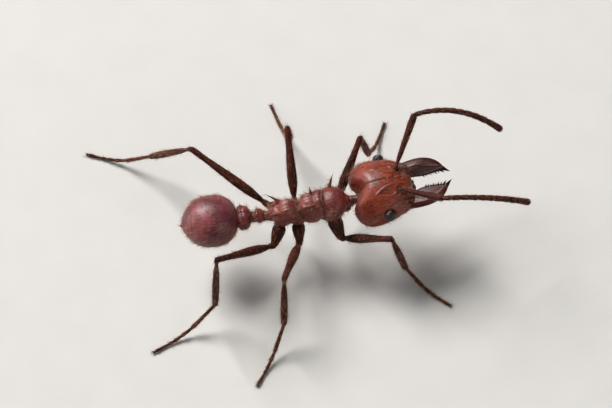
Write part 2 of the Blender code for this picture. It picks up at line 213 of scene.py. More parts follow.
def nearest_number(points: Points, line: Points) -> Points:
    """The number of the line's point that is nearest to each of the points."""
    return ((points[:, None] - line[None]) ** 2).sum(axis=2).argmin(axis=1)


def nearest_gap(points: Points, line: Points) -> Points:
    """How far each point is from the nearest point of a line.

    Args:
        points: The points.
        line: The line's points.

    Returns:
        One distance for each of the points.
    """
    batch = 4000
    gaps = []
    for some in np.array_split(points, max(len(points) // batch, 1)):
        gaps.append(np.sqrt(((some[:, None] - line[None]) ** 2).sum(axis=2).min(axis=1)))
    return np.concatenate(gaps)


# ---------------- forms


@dataclass
class Form:
    """A closed surface in millimetres."""

    points: Points  # one row each
    faces: Faces  # rows of point numbers
    dark: Points | None = None  # from 0 to 1, or below 0 where it is pale

    def shade(self) -> Points:
        """The darkness of each point, 0 where none is set."""
        return np.zeros(len(self.points)) if self.dark is None else self.dark

    def toned(self, dark: float) -> "Form":
        """The form, equally dark all over."""
        return replace(self, dark=np.full(len(self.points), dark))

    def shaded(self, dark: Points) -> "Form":
        """The form, made of rings between two poles, with this darkness from ring to ring."""
        sides = (len(self.points) - 2) // len(dark)
        return replace(self, dark=np.concatenate([dark[:1], np.repeat(dark, sides), dark[-1:]]))

    def moved(self, matrix: Matrix) -> "Form":
        """The form under a turn and a shift."""
        turn = np.array(matrix.to_3x3())
        return replace(self, points=self.points @ turn.T + np.array(matrix.translation))

    def mirrored(self, side: Side) -> "Form":
        """The left side's form for the side given.

        Args:
            side: The side.

        Returns:
            The form itself for the left, or its mirror image with its faces pointing out.
        """
        if side is Side.LEFT:
            return self
        faces = [tuple(reversed(face)) for face in self.faces]
        return Form(side.place(self.points), faces, self.dark)


def together(forms: Sequence[Form]) -> Form:
    """Several forms as one, each still a body of its own.

    Args:
        forms: The forms.

    Returns:
        One form with all their points and faces.
    """
    points, faces, dark, first = [], [], [], 0
    for form in forms:
        points.append(form.points)
        dark.append(form.shade())
        faces += [tuple(number + first for number in face) for face in form.faces]
        first += len(form.points)
    return Form(np.concatenate(points), faces, np.concatenate(dark))


def both(left: Sequence["Form | Thorn"]) -> list:
    """The left side's forms or thorns, then the same ones for the right side."""
    return [one.mirrored(side) for side in Side for one in left]


def ring_faces(rings: int, sides: int, forward: bool) -> Faces:
    """Faces of a form made of a pole, rings of points and another pole.

    Args:
        rings: How many rings it has.
        sides: Points in each ring.
        forward: True if a ring turns by the right hand about the way to the next one.

    Returns:
        The faces, pointing out.
    """
    faces = []
    last = 1 + rings * sides
    for j in range(sides):
        k = (j + 1) % sides
        faces.append((0, 1 + j, 1 + k))
        faces.append((last, last - sides + k, last - sides + j))
        for i in range(rings - 1):
            a, b = 1 + i * sides, 1 + (i + 1) * sides
            faces.append((a + j, b + j, b + k, a + k))
    return [tuple(reversed(face)) for face in faces] if forward else faces


def ball(shape: PerPlace, sides: int, rings: int) -> Form:
    """A sphere with its poles on the X axis, put through a shape.

    Args:
        shape: Takes unit vectors and returns the points of the form.
        sides: Points around the axis.
        rings: Steps from pole to pole.

    Returns:
        The form.
    """
    along = np.arange(1, rings) / rings * math.pi
    around = np.arange(sides) / sides * TAU
    u, v = np.meshgrid(along, around, indexing="ij")
    grid = np.stack([np.cos(u), np.sin(u) * np.cos(v), np.sin(u) * np.sin(v)], axis=2).reshape(-1, 3)
    points = shape(np.concatenate([[[1.0, 0, 0]], grid, [[-1.0, 0, 0]]]))
    return Form(points, ring_faces(rings - 1, sides, forward=False))


def egg(middle: Place, half: Place, turn: Matrix | None = None, sides: int = 32) -> Form:
    """A smooth egg-shaped lump, by its middle and its half lengths; sides are the points around it."""
    form = ball(lambda way: way * np.array(half), sides, max(sides * 2 // 3, 6))
    return form.moved(Matrix.Translation(Vector(middle)) @ (turn or Matrix()))


def lofted(middles: Points, acrosses: Points, ups: Points) -> Form:
    """A form through rings, closed at both ends.

    Args:
        middles: The middle of each ring.
        acrosses: From each middle to the points of its ring, in the ring's first direction.
        ups: The same, in the direction that the right hand turns to.

    Returns:
        The form.
    """
    rings = middles[:, None] + acrosses + ups
    points = np.concatenate([middles[:1], rings.reshape(-1, 3), middles[-1:]])
    return Form(points, ring_faces(len(middles), rings.shape[1], forward=True))


def swept(path: Points, radii: Sequence[float], sides: int = 20, flat: float = 1.0) -> Form:
    """A tube along a path, closed at both ends.

    Args:
        path: The points of its middle line.
        radii: Its radius at each point, or at even steps of the path.
        sides: Points around it.
        flat: Its height as a share of its width.

    Returns:
        The form.
    """
    path = np.asarray(path, float)
    if len(radii) != len(path):
        radii = np.interp(np.linspace(0, 1, len(path)), np.linspace(0, 1, len(radii)), radii)
    ways = unit(np.gradient(path, axis=0))
    steep = abs(ways[0][2]) >= 0.9
    across = unit(np.cross((0, 1, 0) if steep else (0, 0, 1), ways[0]))
    angle = np.arange(sides)[:, None] / sides * TAU
    acrosses, ups = [], []
    for way, radius in zip(ways, radii):
        across = unit(across - way * across.dot(way))
        acrosses.append(np.cos(angle) * across * radius)
        ups.append(np.sin(angle) * np.cross(way, across) * radius * flat)
    return lofted(path, np.array(acrosses), np.array(ups))


def round_ends(at: Points, radii: Points, blunt: float) -> Points:
    """Radii that close to a dome at both ends.

    Args:
        at: The place of each ring along the length, from 0.
        radii: The radius there.
        blunt: The length of a dome, in radii.

    Returns:
        The new radii.
    """
    reach = np.maximum(radii * blunt, 1e-6)
    for distance in (at - at[0], at[-1] - at):
        near = np.clip(distance / reach, 0, 1)
        radii = radii * np.sqrt(np.maximum(1 - (1 - near) ** 2, 0.0004))
    return radii


@dataclass(frozen=True)
class Thorn:
    """A pointed spine, tooth or claw with a flared foot, sunk into what it grows from."""

    foot: Place  # where it leaves the surface
    way: Place  # which way it grows
    length: float
    radius: float  # the radius of its foot
    curl: Place = (0, 0, 0)  # how far its tip is bent aside
    sides: int = 14  # points around it
    dark: Two = (0, 0.9)  # how dark it is at its foot and at its tip
    flare: float = 1.4  # 1 is a straight cone, and more is a spine with a hollow outline

    def mirrored(self, side: Side) -> "Thorn":
        """The left side's thorn for the side given."""
        places = {name: side.place(getattr(self, name)) for name in ("foot", "way", "curl")}
        return replace(self, **places)

    def at(self, share: Points) -> Points:
        """The points of its middle line at shares of its length, from below its foot to its tip."""
        straight = unit(np.array(self.way, float)) * (share * (self.length + self.radius) - self.radius)
        return np.array(self.foot) + straight + np.array(self.curl) * share**2

    def form(self, until: float = 1.0, slim: float = 0.0) -> Form:
        """The thorn, or only its root.

        Args:
            until: The share of its length that is made.
            slim: How much thinner than the whole thorn it grows on the way there.

        Returns:
            The form.
        """
        u = np.linspace(0, until, 17)
        radii = self.radius * (0.05 + 0.95 * (1 - u) ** self.flare) * (1 - slim * u)
        foot, tip = self.dark
        return swept(self.at(u[:, None]), radii, self.sides).shaded(foot + (tip - foot) * ease(u, 0, 1))


@dataclass(frozen=True)
class Detail:
    """Something pressed into a plate, or raised on it."""

    # Where a seam runs, or the middle of a pit, for the left side or the middle of the ant.
    route: Sequence[Place] | Place
    width: float | Place  # the half width of a seam, or the radius or the half lengths of a pit
    depth: float  # below 0 it stands out
    dark: float = 0.0
    paired: bool = True  # whether the right side has it too

    def shares(self, plate: "Plate", side: Side) -> tuple[Points, Points]:
        """How much of its depth, and of its darkness, each of the plate's points has."""
        raise NotImplementedError


class Seam(Detail):
    """A line between two plates, or a keel where its depth is below 0."""

    def shares(self, plate: "Plate", side: Side) -> tuple[Points, Points]:
        """How much of its depth and of its darkness each point has, by the distance from its course.

        Args:
            plate: The plate.
            side: The side that it runs on.

        Returns:
            The two shares for each of the plate's points.
        """
        line = plate.snapped(even_steps(side.place(self.route), self.width * 0.5))
        line[1:-1] = (line[:-2] + line[1:-1] * 2 + line[2:]) / 4
        gap = nearest_gap(plate.points, line)
        return hump(gap, self.width), hump(gap, self.width * 1.5)


class Pit(Detail):
    """A round or oval hollow, such as a socket or a breathing hole."""

    def shares(self, plate: "Plate", side: Side) -> tuple[Points, Points]:
        """How much of its depth and of its darkness each point has: all inside it and none outside."""
        gaps = (plate.points - side.place(self.route)) / np.array(self.width)
        return (ease(np.linalg.norm(gaps, axis=1), 1.15, 0.75),) * 2


class Plate:
    """A shell plate while it is shaped: forms fused into one skin, with its seams, dark places and thorns.

    Only the root of a thorn is fused, because its point is thinner than the skin's faces. The thorn itself
    stands over its root.
    """

    def __init__(self, forms: Sequence[Form], thorns: Sequence[Thorn], voxel: float, relax: int) -> None:
        """Fuses the forms.

        Args:
            forms: Closed forms that overlap.
            thorns: The thorns that grow from them.
            voxel: The size of the skin's faces, in millimetres.
            relax: How many times the skin is smoothed.
        """
        self.thorns = thorns
        roots = [thorn.form(until=0.5, slim=0.6) for thorn in thorns]
        rough = mesh_of(together([*forms, *roots]), "rough")
        thing = placed("rough", rough)
        remesh = thing.modifiers.new("fuse", "REMESH")
        remesh.mode = "VOXEL"
        remesh.voxel_size = voxel
        smooth = thing.modifiers.new("relax", "SMOOTH")
        smooth.factor = 0.5
        smooth.iterations = relax
        graph = bpy.context.evaluated_depsgraph_get()
        self.mesh = bpy.data.meshes.new_from_object(thing.evaluated_get(graph))
        bpy.data.objects.remove(thing)
        bpy.data.meshes.remove(rough)
        flat = np.empty(len(self.mesh.vertices) * 3, np.float32)
        self.mesh.vertices.foreach_get("co", flat)
        self.points = flat.reshape(-1, 3).astype(float)
        self.dark = np.zeros(len(self.points))

    def swell(self, heights: Points) -> None:
        """Moves the skin outwards, or inwards where the height is below 0.

        Args:
            heights: How far each point moves.
        """
        self.mesh.vertices.foreach_set("co", self.points.astype(np.float32).ravel())
        self.mesh.update()
        out = np.empty(len(self.points) * 3, np.float32)
        self.mesh.vertex_normals.foreach_get("vector", out)
        self.points += out.reshape(-1, 3).astype(float) * heights[:, None]

    def snapped(self, route: Points) -> Points:
        """The route's points, each moved to the nearest point of the skin."""
        nearest = [((self.points - point) ** 2).sum(axis=1).argmin() for point in route]
        return self.points[nearest]

    def press(self, details: Sequence[Detail], sides: Sequence[Side] = tuple(Side)) -> None:
        """Presses seams and pits into the skin, one after the other.

        Args:
            details: The seams and pits.
            sides: The sides that the paired ones are on.
        """
        for detail in details:
            for side in sides if detail.paired else sides[:1]:
                pressed, darkened = detail.shares(self, side)
                self.swell(-detail.depth * pressed)
                self.darken(detail.dark * darkened)

    def darken(self, dark: Points) -> None:
        """Makes each point at least this dark."""
        self.dark = np.maximum(self.dark, dark)

    def darken_near(self, places: Sequence[Place], width: float, dark: float) -> None:
        """Darkens the skin around places on both sides.

        Args:
            places: The places, for the left side or the middle.
            width: How far the dark reaches.
            dark: How dark it is.
        """
        for place in places:
            for side in Side:
                gap = np.linalg.norm(self.points - side.place(place), axis=1)
                self.darken(dark * hump(gap, width))

    def grain(self, size: float, height: float, seed: int) -> None:
        """Gives the skin low swells, so that no stretch of it is a perfect curve.

        Args:
            size: The distance between two swells.
            height: Their height.
            seed: The number that the swells are drawn from.
        """
        waves = 7
        draw = np.random.default_rng(seed)
        swell = np.zeros(len(self.points))
        for _ in range(waves):
            way = unit(draw.normal(size=3)) * TAU / (size * draw.uniform(0.7, 1.4))
            swell += np.sin(self.points @ way + draw.uniform(0, TAU))
        self.swell(swell * height / waves)

    def fold(self, start: float, end: float, spacing: float, height: float) -> None:
        """Rings the skin with fine folds between two places along X.

        Args:
            start: Where the folds start.
            end: Where they end.
            spacing: The distance between two folds.
            height: Their height.
        """
        along = self.points[:, 0]
        share = ease(along, start, start + spacing) * ease(along, end, end - spacing)
        self.swell(share * height * np.sin(along / spacing * TAU))

    def form(self) -> Form:
        """Ends the shaping.

        Returns:
            The skin with its thorns.
        """
        faces = [tuple(polygon.vertices) for polygon in self.mesh.polygons]
        skin = Form(self.points, faces, self.dark)
        bpy.data.meshes.remove(self.mesh)
        return together([skin, *(thorn.form() for thorn in self.thorns)])


# ---------------- meshes and pieces


def mesh_of(form: Form, name: str, scale: float = 1.0) -> bpy.types.Mesh:
    """A mesh of a form.

    Args:
        form: The form.
        name: The mesh's name.
        scale: What its points are multiplied by.

    Returns:
        The mesh, with the form's darkness as an attribute.
    """
    mesh = bpy.data.meshes.new(name)
    mesh.from_pydata((form.points * scale).tolist(), [], form.faces)
    mesh.attributes.new("dark", "FLOAT", "POINT")
    mesh.attributes["dark"].data.foreach_set("value", form.shade().astype(np.float32))
    mesh.update()
    return mesh


def placed(name: str, data: bpy.types.ID) -> bpy.types.Object:
    """Adds an object to the scene.

    Args:
        name: Its name.
        data: Its mesh, light or camera.

    Returns:
        The object.
    """
    thing = bpy.data.objects.new(name, data)
    bpy.context.scene.collection.objects.link(thing)
    return thing


def add_piece(
    name: str, form: Form, finish: "Finish", slot: Slot, nodes: Sequence[str] = ()
) -> bpy.types.Object:
    """Adds a finished piece to the ant.

    Args:
        name: The piece's name.
        form: Its surface, in millimetres.
        finish: Its finish.
        slot: The record's slot for the piece's region; not used.
        nodes: The solids that it stands for.

    Returns:
        The object.
    """
    mesh = mesh_of(form, name, MM)
    mesh.shade_smooth()
    mesh.materials.append(finish.material())
    piece = placed(name, mesh)
    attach(piece, BODY)
    if nodes:
        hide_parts(*nodes)
    log.info("%s: %d faces, stands for %s", name, len(mesh.polygons), ", ".join(nodes) or "no solid")
    return piece


def node_box(node: str) -> tuple[Points, Points]:
    """A solid's lowest and highest corner, in millimetres."""
    low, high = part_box(node)
    return np.array(low) / MM, np.array(high) / MM


def body_place() -> Matrix:
    """Finds where the ant's own coordinates lie, by the thorax's back end and the gaster's middle.

    Returns:
        The shift from the ant's coordinates to the frame's.
    """
    thorax_back = -1.27
    back = node_box("thorax")[0][0] - thorax_back
    middle = np.mean(node_box("gaster"), axis=0)[1]
    return Matrix.Translation((back, middle, 0))


@dataclass(frozen=True)
class Middle:
    """The middle line of a limb."""

    points: Points  # from its near end to its far end

    @staticmethod
    def between(start: Points, end: Points, inner: float, outer: float) -> "Middle":
        """The straight line from start to end, longer at both ends by inner and outer."""
        way = unit(end - start)
        return Middle(np.stack([start - way * inner, end + way * outer]))

    def at(self, distances: Points) -> Points:
        """The points at these distances from the line's start."""
        return points_at(self.points, distances)

    def way(self) -> Points:
        """The direction from its start to its end."""
        return unit(self.points[-1] - self.points[0])

    def length(self) -> float:
        """The line's length."""
        return float(lengths_along(self.points)[-1])

    def lie(self, places: Points) -> Points:
        """The line's direction beside each place, which is the way that hairs lie there."""
        ways = unit(np.gradient(self.points, axis=0))
        return ways[nearest_number(places, self.points)]

    def unwrap(self, places: Points) -> tuple[Points, Points]:
        """Unwraps the limb along and around the line.

        Args:
            places: Places on the limb.

        Returns:
            How far around the line and how far along it each place is, from 0 to 1.
        """
        path = self.at(np.linspace(0, self.length(), 41))
        nearest = nearest_number(places, path)
        across = unit(np.cross(self.way(), (0, 0, 1)))
        out = places - path[nearest]
        around = np.arctan2(out @ np.cross(across, self.way()), out @ across) / TAU + 0.5
        return around, nearest / (len(path) - 1)


def dome_steps(length: float, step: float) -> Points:
    """Places along a length, close together near both ends.

    Args:
        length: The length.
        step: The greatest distance between two places.

    Returns:
        The places, from 0.
    """
    end = 0.09
    near = np.array([0, 0.002, 0.006, 0.013, 0.022, 0.034, 0.05, 0.07])
    inner = np.linspace(end, length - end, max(int((length - 2 * end) / step), 2) + 1)
    return np.concatenate([near, inner, length - near[::-1]])


def limb_form(line: Middle, rows: Sequence[Row], blunt: float = 0.9, flat: float = 1.0) -> Form:
    """One segment of a limb, round at both ends and dark at its joints.

    Args:
        line: Its middle line.
        rows: Its radius at shares of its length.
        blunt: How long its rounded ends are, in radii.
        flat: Its height as a share of its width.

    Returns:
        The form.
    """
    at = dome_steps(line.length(), 0.05)
    radii = round_ends(at, smooth_table(rows, at / at[-1])[:, 0], blunt)
    joint = 0.09
    dark = 0.8 * np.maximum(hump(at, joint), hump(at[-1] - at, joint))
    return swept(line.at(at), radii, 20, flat).shaded(dark)


def beaded_form(line: Middle, joints: Row, ends: Two, bead: Sequence[Row]) -> Form:
    """A limb of many short segments.

    Args:
        line: Its middle line.
        joints: The shares of its length where segments meet, from 0 to 1.
        ends: Its radius at its near end and at its far end.
        bead: The radius along one segment, as shares of the segment's length and of the limb's radius.

    Returns:
        The form, dark where segments meet.
    """
    at = dome_steps(line.length(), 0.018)
    share = at / at[-1]
    joints = np.array(joints)
    i = np.clip(np.searchsorted(joints, share, side="right") - 1, 0, len(joints) - 2)
    within = (share - joints[i]) / (joints[i + 1] - joints[i])
    table = np.array(bead)
    radii = np.interp(share, (0, 1), ends) * np.interp(within, table[:, 0], table[:, 1])
    gap = np.abs(share[:, None] - joints[None]).min(axis=1) * at[-1]
    return swept(line.at(at), round_ends(at, radii, 0.9), 16).shaded(0.85 * hump(gap, 0.028))


# ---------------- finishes

# The inputs and the output of a colour's Mix node by number, because several of them share a name.
SHARE, FIRST, SECOND, MIXED = 0, 6, 7, 2


def linear(colour: str) -> tuple[float, float, float, float]:
    """Turns a colour to linear light.

    Args:
        colour: The colour as sRGB hex.

    Returns:
        Its red, green, blue and alpha.
    """
    channels = [int(colour[i : i + 2], 16) / 255 for i in (1, 3, 5)]
    straight = [c / 12.92 if c <= 0.04045 else ((c + 0.055) / 1.055) ** 2.4 for c in channels]
    return (*straight, 1.0)


def per_metre(size: float) -> float:
    """The scale of a pattern whose cells are this many millimetres across."""
    return 1 / (size * MM)


def add_node(tree: bpy.types.NodeTree, kind: str, settings: dict[str | int, object]) -> bpy.types.Node:
    """Adds a node to a material.

    Args:
        tree: The material's tree.
        kind: The node's type, without the words that all types start with.
        settings: Values, and outputs to link, by a property's name or an input's name or number.

    Returns:
        The node.
    """
    node = tree.nodes.new(f"ShaderNode{kind}")
    for name, value in settings.items():
        if isinstance(value, Socket):
            tree.links.new(value, node.inputs[name])
        elif isinstance(name, str) and name not in node.inputs:
            setattr(node, name, value)
        else:
            node.inputs[name].default_value = value
    return node


@dataclass(frozen=True)
class Finish:
    """What a piece is made of."""

    name: str

    def shader(self, add: Add) -> Socket:
        """The finish's shader, which each kind of finish builds in its own way."""
        raise NotImplementedError

    def material(self) -> bpy.types.Material:
        """Builds the material, or finds it if it is built.

        Returns:
            The material.
        """
        if self.name not in bpy.data.materials:
            material = bpy.data.materials.new(self.name)
            material.use_nodes = True
            material.node_tree.nodes.clear()
            add = partial(add_node, material.node_tree)
            add("OutputMaterial", {"Surface": self.shader(add)})
        return bpy.data.materials[self.name]


@dataclass(frozen=True)
class Cuticle(Finish):
    """Sclerotised insect cuticle: chitin laid down in sheets by the skin below, then tanned hard and brown.

    The skin's cells leave their outlines on it as a fine net of raised lines, which makes it satin and not
    glossy. Tanning makes it darker where it is thick, and leaves it a clear amber film at the margins. The
    same dark colour is also painted as shade in a few hollows. Its sizes are in millimetres.
    """

    pale: str  # its colour where it is thin or worn
    main: str  # its colour over most of the plate
    # The deep colour is also used as painted shade in the mouth, under the gaster's plate edges and on the
    # neck.
    deep: str  # its colour at seams, teeth and the tips of spines
    roughness: float
    thin: str = "#A9683F"  # its colour at the margins of a plate
    relief: float = 0.002  # the height of the net
    mottle: float = 0.7  # the size of its patches of colour
    glow: float = 0.03  # how much light passes under its surface
    shine: float = 0.3  # how strongly it reflects, where 0.5 is smooth chitin
    streak: float = 0.0  # the length of the fine furrows along it, or 0 where it has none
    # The width of a cell of the net. The real one, 0.01 to 0.02 mm, is too fine to show.
    net: float = 0.045
    speck: float = 0.072  # the size of its small specks
    swell: float = 0.099  # the size of its soft unevenness

    def shader(self, add: Add) -> Socket:
        """Builds the shader, whose small specks are both a little darker and a little less dull.

        Args:
            add: Adds a node.

        Returns:
            The shader's output.
        """
        place = add("TexCoord", {}).outputs["Object"]
        noise = {"Vector": place, "Scale": per_metre(self.speck), "Detail": 2, "Roughness": 0.7}
        specks = add("TexNoise", noise).outputs["Fac"]
        low, high = self.roughness - 0.06, self.roughness + 0.08
        wander = {"Value": specks, "From Min": 0.3, "From Max": 0.7, "To Min": low, "To Max": high}
        look = {
            "Base Color": self.colour(add, place, specks),
            "Normal": self.bumps(add, place),
            "Roughness": add("MapRange", wander).outputs["Result"],
            "IOR": 1.56,
            "Specular IOR Level": self.shine,
            "Subsurface Weight": self.glow,
            "Subsurface Scale": 0.25 * MM,
            "Subsurface Radius": (1.0, 0.35, 0.2),
        }
        return add("BsdfPrincipled", look).outputs["BSDF"]

    def colour(self, add: Add, place: Socket, specks: Socket) -> Socket:
        """Builds the colour: patches and specks, amber margins, dark seams and tips, and painted shade.

        Args:
            add: Adds a node.
            place: Where on the piece the colour is read.
            specks: The pattern of its specks.

        Returns:
            The colour.
        """
        noise = {"Vector": place, "Scale": per_metre(self.mottle), "Detail": 4, "Roughness": 0.6}
        patches = add("TexNoise", noise).outputs["Fac"]
        worn = add("MapRange", {"Value": patches, "From Min": 0.42, "From Max": 0.66})
        shades = add("ValToRGB", {"Fac": specks})
        for stop, at, shade in zip(shades.color_ramp.elements, (0.36, 0.56), ((0.55, 0.5, 0.48), (1, 1, 1))):
            stop.position, stop.color = at, (*shade, 1)
        # The dark attribute holds the cuticle's dark seams, joints and tips, and painted shade in a few
        # places.
        thick = add("Attribute", {"attribute_name": "dark"}).outputs["Fac"]
        film = add("MapRange", {"Value": thick, "From Min": 0, "From Max": -1})
        colour = linear(self.main)
        for blend, share, other in (
            ("MIX", worn.outputs["Result"], linear(self.pale)),
            ("MULTIPLY", 0.55, shades.outputs["Color"]),
            ("MIX", film.outputs["Result"], linear(self.thin)),
            ("MIX", thick, linear(self.deep)),
        ):
            mix = {"data_type": "RGBA", "blend_type": blend, SHARE: share, FIRST: colour, SECOND: other}
            colour = add("Mix", mix).outputs[MIXED]
        return colour

    def bumps(self, add: Add, place: Socket) -> Socket:
        """Builds the net of raised lines over a softer unevenness, and the furrows where there are any.

        Args:
            add: Adds a node.
            place: Where on the piece they are read.

        Returns:
            The normal.
        """
        net = {"Vector": place, "Scale": per_metre(self.net), "feature": "DISTANCE_TO_EDGE"}
        cells = add("TexVoronoi", net).outputs["Distance"]
        walls = add("MapRange", {"Value": cells, "From Min": 0, "From Max": 0.25}).outputs["Result"]
        swells = add("TexNoise", {"Vector": place, "Scale": per_metre(self.swell), "Detail": 3})
        depth = self.relief * MM
        lines = {"Height": walls, "Strength": 0.6, "Distance": depth, "invert": True}
        normal = add("Bump", lines).outputs["Normal"]
        layers = [(swells, 0.4, depth * 1.6)]
        if self.streak:
            stretch = add("Mapping", {"Vector": place, "Scale": (self.net / self.streak, 1, 1)})
            noise = {"Vector": stretch.outputs["Vector"], "Scale": per_metre(self.net), "Detail": 2}
            furrows = add("TexNoise", noise)
            layers.append((furrows, 0.7, depth * 6))
        for layer, strength, high in layers:
            bump = {"Height": layer.outputs["Fac"], "Strength": strength, "Distance": high, "Normal": normal}
            normal = add("Bump", bump).outputs["Normal"]
        return normal


@dataclass(frozen=True)
class TwoTone(Finish):
    """A finish of two colours that is even otherwise, with its clouds in millimetres."""

    first: str
    second: str  # shows where the piece is dark, or else in clouds
    look: dict[str, float]  # the shader's values by name
    clouds: float = 0.0  # the size of the clouds, or 0 where it has none

    def share(self, add: Add) -> Socket:
        """Builds the pattern of the second colour.

        Args:
            add: Adds a node.

        Returns:
            How much of that colour shows.
        """
        if not self.clouds:
            return add("Attribute", {"attribute_name": "dark"}).outputs["Fac"]
        place = add("TexCoord", {}).outputs["Object"]
        return add("TexNoise", {"Vector": place, "Scale": per_metre(self.clouds), "Detail": 5}).outputs["Fac"]

    def shader(self, add: Add) -> Socket:
        """Builds the shader.

        Args:
            add: Adds a node.

        Returns:
            The shader's output.
        """
        colours = {FIRST: linear(self.first), SECOND: linear(self.second)}
        mix = add("Mix", {"data_type": "RGBA", SHARE: self.share(add), **colours})
        return add("BsdfPrincipled", {"Base Color": mix.outputs[MIXED], **self.look}).outputs["BSDF"]


# The head's thick cuticle, tanned hard for the jaws' muscles: rusty brown with a soft gleam.
HEAD_CUTICLE = Cuticle("head_cuticle", "#8F351B", "#671C11", "#200A07", 0.38, relief=0.0022, shine=0.38)
# The thorax's cuticle, its net the coarsest: a duller red-brown that breaks its highlights up.
THORAX_CUTICLE = Cuticle("thorax_cuticle", "#904238", "#652626", "#200C0A", 0.39, relief=0.0028, shine=0.38)
# The gaster's thin, stretched cuticle, with margins as clear as a film: red-brown in wide, soft patches.
GASTER_CUTICLE = Cuticle(
    "gaster_cuticle", "#90474C", "#602930", "#240E10", 0.4,
    thin="#8C5648", relief=0.0022, mottle=0.9, shine=0.38,
)
# The legs' and feelers' slim tubes of dark cuticle, roughened by the feet of their hairs: nearly matt.
LEG_CUTICLE = Cuticle(
    "leg_cuticle", "#542114", "#34130C", "#120705", 0.7,
    relief=0.0012, mottle=0.5, glow=0.05, shine=0.16,
)
# The jaws' cuticle, the hardest, scratched lengthwise by its work: near black, with streaks in its shine.
JAW_CUTICLE = Cuticle(
    "jaw_cuticle", "#562014", "#33110B", "#0D0504", 0.36,
    relief=0.001, mottle=0.5, glow=0.0, shine=0.28, streak=0.5,
)
# An eye's lenses, clear cuticle grown smooth over black pigment: glassy and near black, darker in the seams.
EYE_LENS = TwoTone(
    "compound_eye_lens", "#1C1512", "#17110F",
    {"Roughness": 0.16, "IOR": 1.5, "Specular IOR Level": 0.35, "Coat Weight": 0.25, "Coat Roughness": 0.08},
)
# Setae, hollow hairs that grow out as clear amber cuticle: they catch the light and pale towards their tips.
AMBER_SETA = TwoTone("amber_seta", "#B98A5C", "#6B3E22", {"Roughness": 0.42, "IOR": 1.55})
# The floor's card, pressed from pulp and left uncoated: pale, matt and clouded. Its fibres, 0.02 mm thick,
# are too fine to show, so the clouds that they lie in are drawn.
PALE_CARD = TwoTone("matt_pale_card", "#C3C0BB", "#CBC8C3", {"Roughness": 0.85}, clouds=1.5)


# ---------------- hairs


@dataclass(frozen=True)
class Hairs:
    """How the hairs of one stretch of shell grow, in millimetres."""

    count: int
    length: float
    width: float = 0.014  # the width of their foot
    lift: float = 50.0  # how steeply they leave the shell, in degrees
    curl: float = 0.5  # how far they bend over towards the way they lie
    spread: float = 0.25  # how far their directions differ


